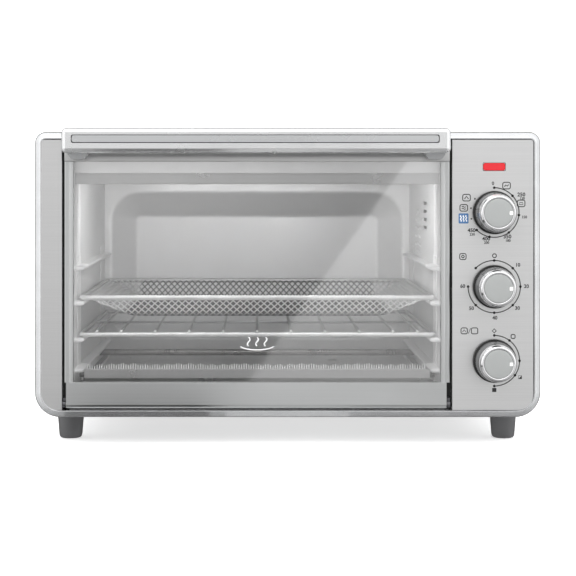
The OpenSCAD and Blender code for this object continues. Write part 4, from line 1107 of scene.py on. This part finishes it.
def make_basket_mesh():
    """Expanded-metal tub: two families of slanted strands, x/w + y/h and x/w - y/h whole numbers, laid on the tub's
    surface. The surface drops from the rim along a slope and is flat at the bottom:
    z = top - depth * min(1, edge distance / slope width), with the corner between slope and floor rounded."""
    low, high = span("basket_mesh")
    depth = high[2] - low[2] - 1 * MM
    slope = np.array([44, 24]) * MM
    wide, deep = 6.6 * MM, 7.7 * MM
    strands = []
    nx, ny = int((high[0] - low[0]) / wide), int((high[1] - low[1]) / deep)
    x0, y0 = low[0] + ((high[0] - low[0]) - nx * wide) / 2, low[1] + ((high[1] - low[1]) - ny * deep) / 2

    def surface(x, y):
        tx = np.minimum(x - low[0], high[0] - x) / slope[0]
        ty = np.minimum(y - low[1], high[1] - y) / slope[1]
        t = np.clip(np.minimum(tx, ty), 0, 1.2)
        t = np.where(t > 0.85, 0.85 + 0.15 * np.tanh((t - 0.85) / 0.15), t)
        return high[2] - 0.6 * MM - depth * np.clip(t, 0, 1)

    for sign in (1, -1):
        for k in range(-2 * ny, 2 * nx + 2 * ny + 1, 2):
            # half steps along the strand: x = x0 + (k + i) wide / 2, y = y0 + i deep / 2
            i = np.arange(2 * ny + 1)
            x = x0 + (k + sign * i) * wide / 2
            y = y0 + i * deep / 2
            keep = (x >= x0 - 1e-6) & (x <= x0 + nx * wide + 1e-6)
            if keep.sum() > 1:
                strands.append((x[keep], y[keep], sign))
    parts = []
    for x, y, sign in strands:
        path = np.stack([x, y, surface(x, y)], 1)
        parts.append(ribbon(path, 1.05 * MM, 0.85 * MM, 0.1 * MM * sign))
    mesh = joined("basket_weave", parts, smooth=False)
    new_object("basket_weave", mesh, [MATERIALS["basket_mesh"]], "basket", ("basket_mesh",))


def ribbon(path, width, height, lift):
    """(points, faces) of a four-sided bar along a path: width across it in plan, height upwards."""
    ahead = np.gradient(path[:, :2], axis=0)
    ahead /= np.linalg.norm(ahead, axis=1)[:, None]
    across = np.column_stack([-ahead[:, 1], ahead[:, 0], np.zeros(len(path))]) * width / 2
    up = np.array([0, 0, height / 2])
    centre = path + np.array([0, 0, lift])
    rings = np.stack([centre - across - up, centre + across - up, centre + across + up, centre - across + up], 1)
    return rings.reshape(-1, 3), tube_faces(len(path), 4)


# ---------- the rest of the CAD nodes ----------

EDGE_MM = {
    "left_trim_plate": 0.3, "control_panel": 0.3, "indicator_lens": 0.6, "door_glass": 0.6,
    "door_bottom_rail": 0.8, "handle_insert": 0.25,
    "handle_brackets": 1.0, "cavity_front_frame": 0.3, "upper_heater_guard": 0.4, "crumb_tray": 0.35,
    "cavity_right_wall": 0.2, "cavity_left_wall": 0.2, "cavity_top": 0.3, "cavity_floor": 0.3,
    "hinge_brackets": 0.4, "rear_cover": 0.4, "base_plate": 0.3, "case_screws": 0.5, "cord_gland": 0.8,
    "foot_screws": 0.5, "handle_screws": 0.5, "thermostat": 0.8, "timer_mechanism": 0.8, "toast_selector": 0.8,
    "control_bracket": 0.4, "fan_motor": 1.0, "fan_housing": 0.4, "fan_impeller": 0.3, "internal_wiring": 1.0,
    "element_insulators": 0.6, "heat_shield": 0.3, "indicator_lamp": 0.5, "hinge_pins": 0.3,
    "upper_front_element": 0.5, "upper_rear_element": 0.5, "lower_front_element": 0.5, "lower_rear_element": 0.5,
    "temperature_shaft": 0.4, "timer_shaft": 0.4, "toast_shaft": 0.4, "fan_shaft": 0.4,
}


# ---------- floor and light ----------


def make_stage():
    """Pale floor that curves up into a backdrop behind the oven: a profile of (y, z) carried along X."""
    radius, back = 1.2, 2.2
    a = np.linspace(0, np.pi / 2, 24)
    curve = np.stack([back + radius * np.sin(a), radius * (1 - np.cos(a))], 1)
    profile = np.vstack([[-7, 0], [0, 0], curve, [back + radius, 6]])
    x = np.array([-7.0, 7.0])
    points = np.array([[xx, y, z] for y, z in profile for xx in x])
    mesh = mesh_from("floor", points, grid_faces(len(profile), 2))
    floor = bpy.data.objects.new("floor", mesh)
    bpy.context.collection.objects.link(floor)
    material, tree, shader, vector = start_material("pale_floor", (0.93, 0.93, 0.93), 0, 0.6)
    satin(tree, shader, vector, 3.0, 0.55, 0.7)
    shader.inputs["Emission Color"].default_value = (1, 1, 1, 1)
    shader.inputs["Emission Strength"].default_value = 0.55
    mesh.materials.append(material)
    floor.visible_glossy = False


def make_cards():
    """Cards that only shine sees. A bright one behind the camera has a slanted edge, which the glass mirrors as a
    sheen. One beside it fades from light to dark towards that edge. A dark and a light one lie under the casing."""
    far, under = FACE_Y - 3.4, (FACE_Y - 0.30, FACE_Y + 0.02)
    cards = (("sheen_card", (1.4, 1.4), [(0.541, far, 0.45), (0.60, far, 0.45), (0.60, far, -0.55),
                                         (-0.178, far, -0.55)]),
             ("fading_card", (0.85, 0.06), [(-0.62, far, 0.33), (0.455, far, 0.33), (-0.041, far, -0.36),
                                            (-0.62, far, -0.36)]),
             ("dark_card", (0.02, 0.02), [(-0.215, under[0], 0), (-0.075, under[0], 0), (-0.075, under[1], 0),
                                          (-0.215, under[1], 0)]),
             ("light_card", (0.5, 0.5), [(-0.06, under[0], 0), (0.06, under[0], 0), (0.06, under[1], 0),
                                         (-0.06, under[1], 0)]))
    for name, (left_glow, right_glow), corners in cards:
        mesh = mesh_from(name, corners, [(0, 1, 2, 3)], smooth=False)
        card = bpy.data.objects.new(name, mesh)
        bpy.context.collection.objects.link(card)
        card.visible_camera = card.visible_diffuse = card.visible_shadow = card.visible_transmission = False
        material, tree, shader, vector = start_material(name + "_light", (0, 0, 0), 0, 1)
        across = add(tree, "SeparateXYZ", i0=vector)
        glow = add(tree, "MapRange", i0=across.outputs["X"], i1=-0.30, i2=0.25, i3=left_glow, i4=right_glow)
        shader.inputs["Specular IOR Level"].default_value = 0
        shader.inputs["Emission Color"].default_value = (1, 1, 1, 1)
        tree.links.new(glow.outputs[0], shader.inputs["Emission Strength"])
        mesh.materials.append(material)


def make_lights():
    area_light("backdrop_light", (0, 1.6, 2.9), (0, 1.9, 0), (4, 2), 90, shine=False)
    area_light("key_above", (-0.5, -0.9, 1.9), (0, 0, 0.15), (2.2, 1.2), 7)
    area_light("cavity_fill", (-0.03, -0.13, 0.235), (-0.03, 0.17, 0.13), (0.28, 0.03), 0.40)


# ---------- assembly ----------

make_camera()
make_world()
make_stage()
make_cards()
make_lights()
KNOB_SKIRT = moulded("knob_skirt", (0.006, 0.006, 0.006), 0.55, 2500, 0.05)
SLOT_SHADE = moulded("slot_shade", (0.05, 0.05, 0.05), 0.6)
KNOB_RING = plated("knob_ring", (0.86, 0.86, 0.87), 0.1)
INK = printed("black_ink", (0.02, 0.02, 0.02))
BLUE_INK = printed("blue_ink", (0.06, 0.15, 0.32))
GLASS_INK = printed("pale_glass_ink", (0.75, 0.75, 0.75))
# painted light: the tray's bristles are coloured near-white, much lighter than the tray sheet they are part of
HEM_STEEL_PAINTED_LIGHT = sheet_metal("hem_steel_painted_light", (0.92, 0.92, 0.92), 0.35, 0.05, 60, 0.3)
POINTER_WHITE = moulded("pointer_white", (0.85, 0.85, 0.84), 0.35, 2500, 0.05)
make_bezel()
make_shell()
make_feet()
for knob in KNOBS:
    make_knob(knob)
    make_knob_face(knob)
make_handle()
make_stiles()
make_top_rail()
make_tray_hem()
make_runners()
print_dials()
print_pane()
make_back_wall()
make_rack()
make_basket_frame()
make_basket_mesh()
for node_name, edge in EDGE_MM.items():
    softened(node_name, edge)

bpy.context.scene.view_settings.view_transform = "Standard"
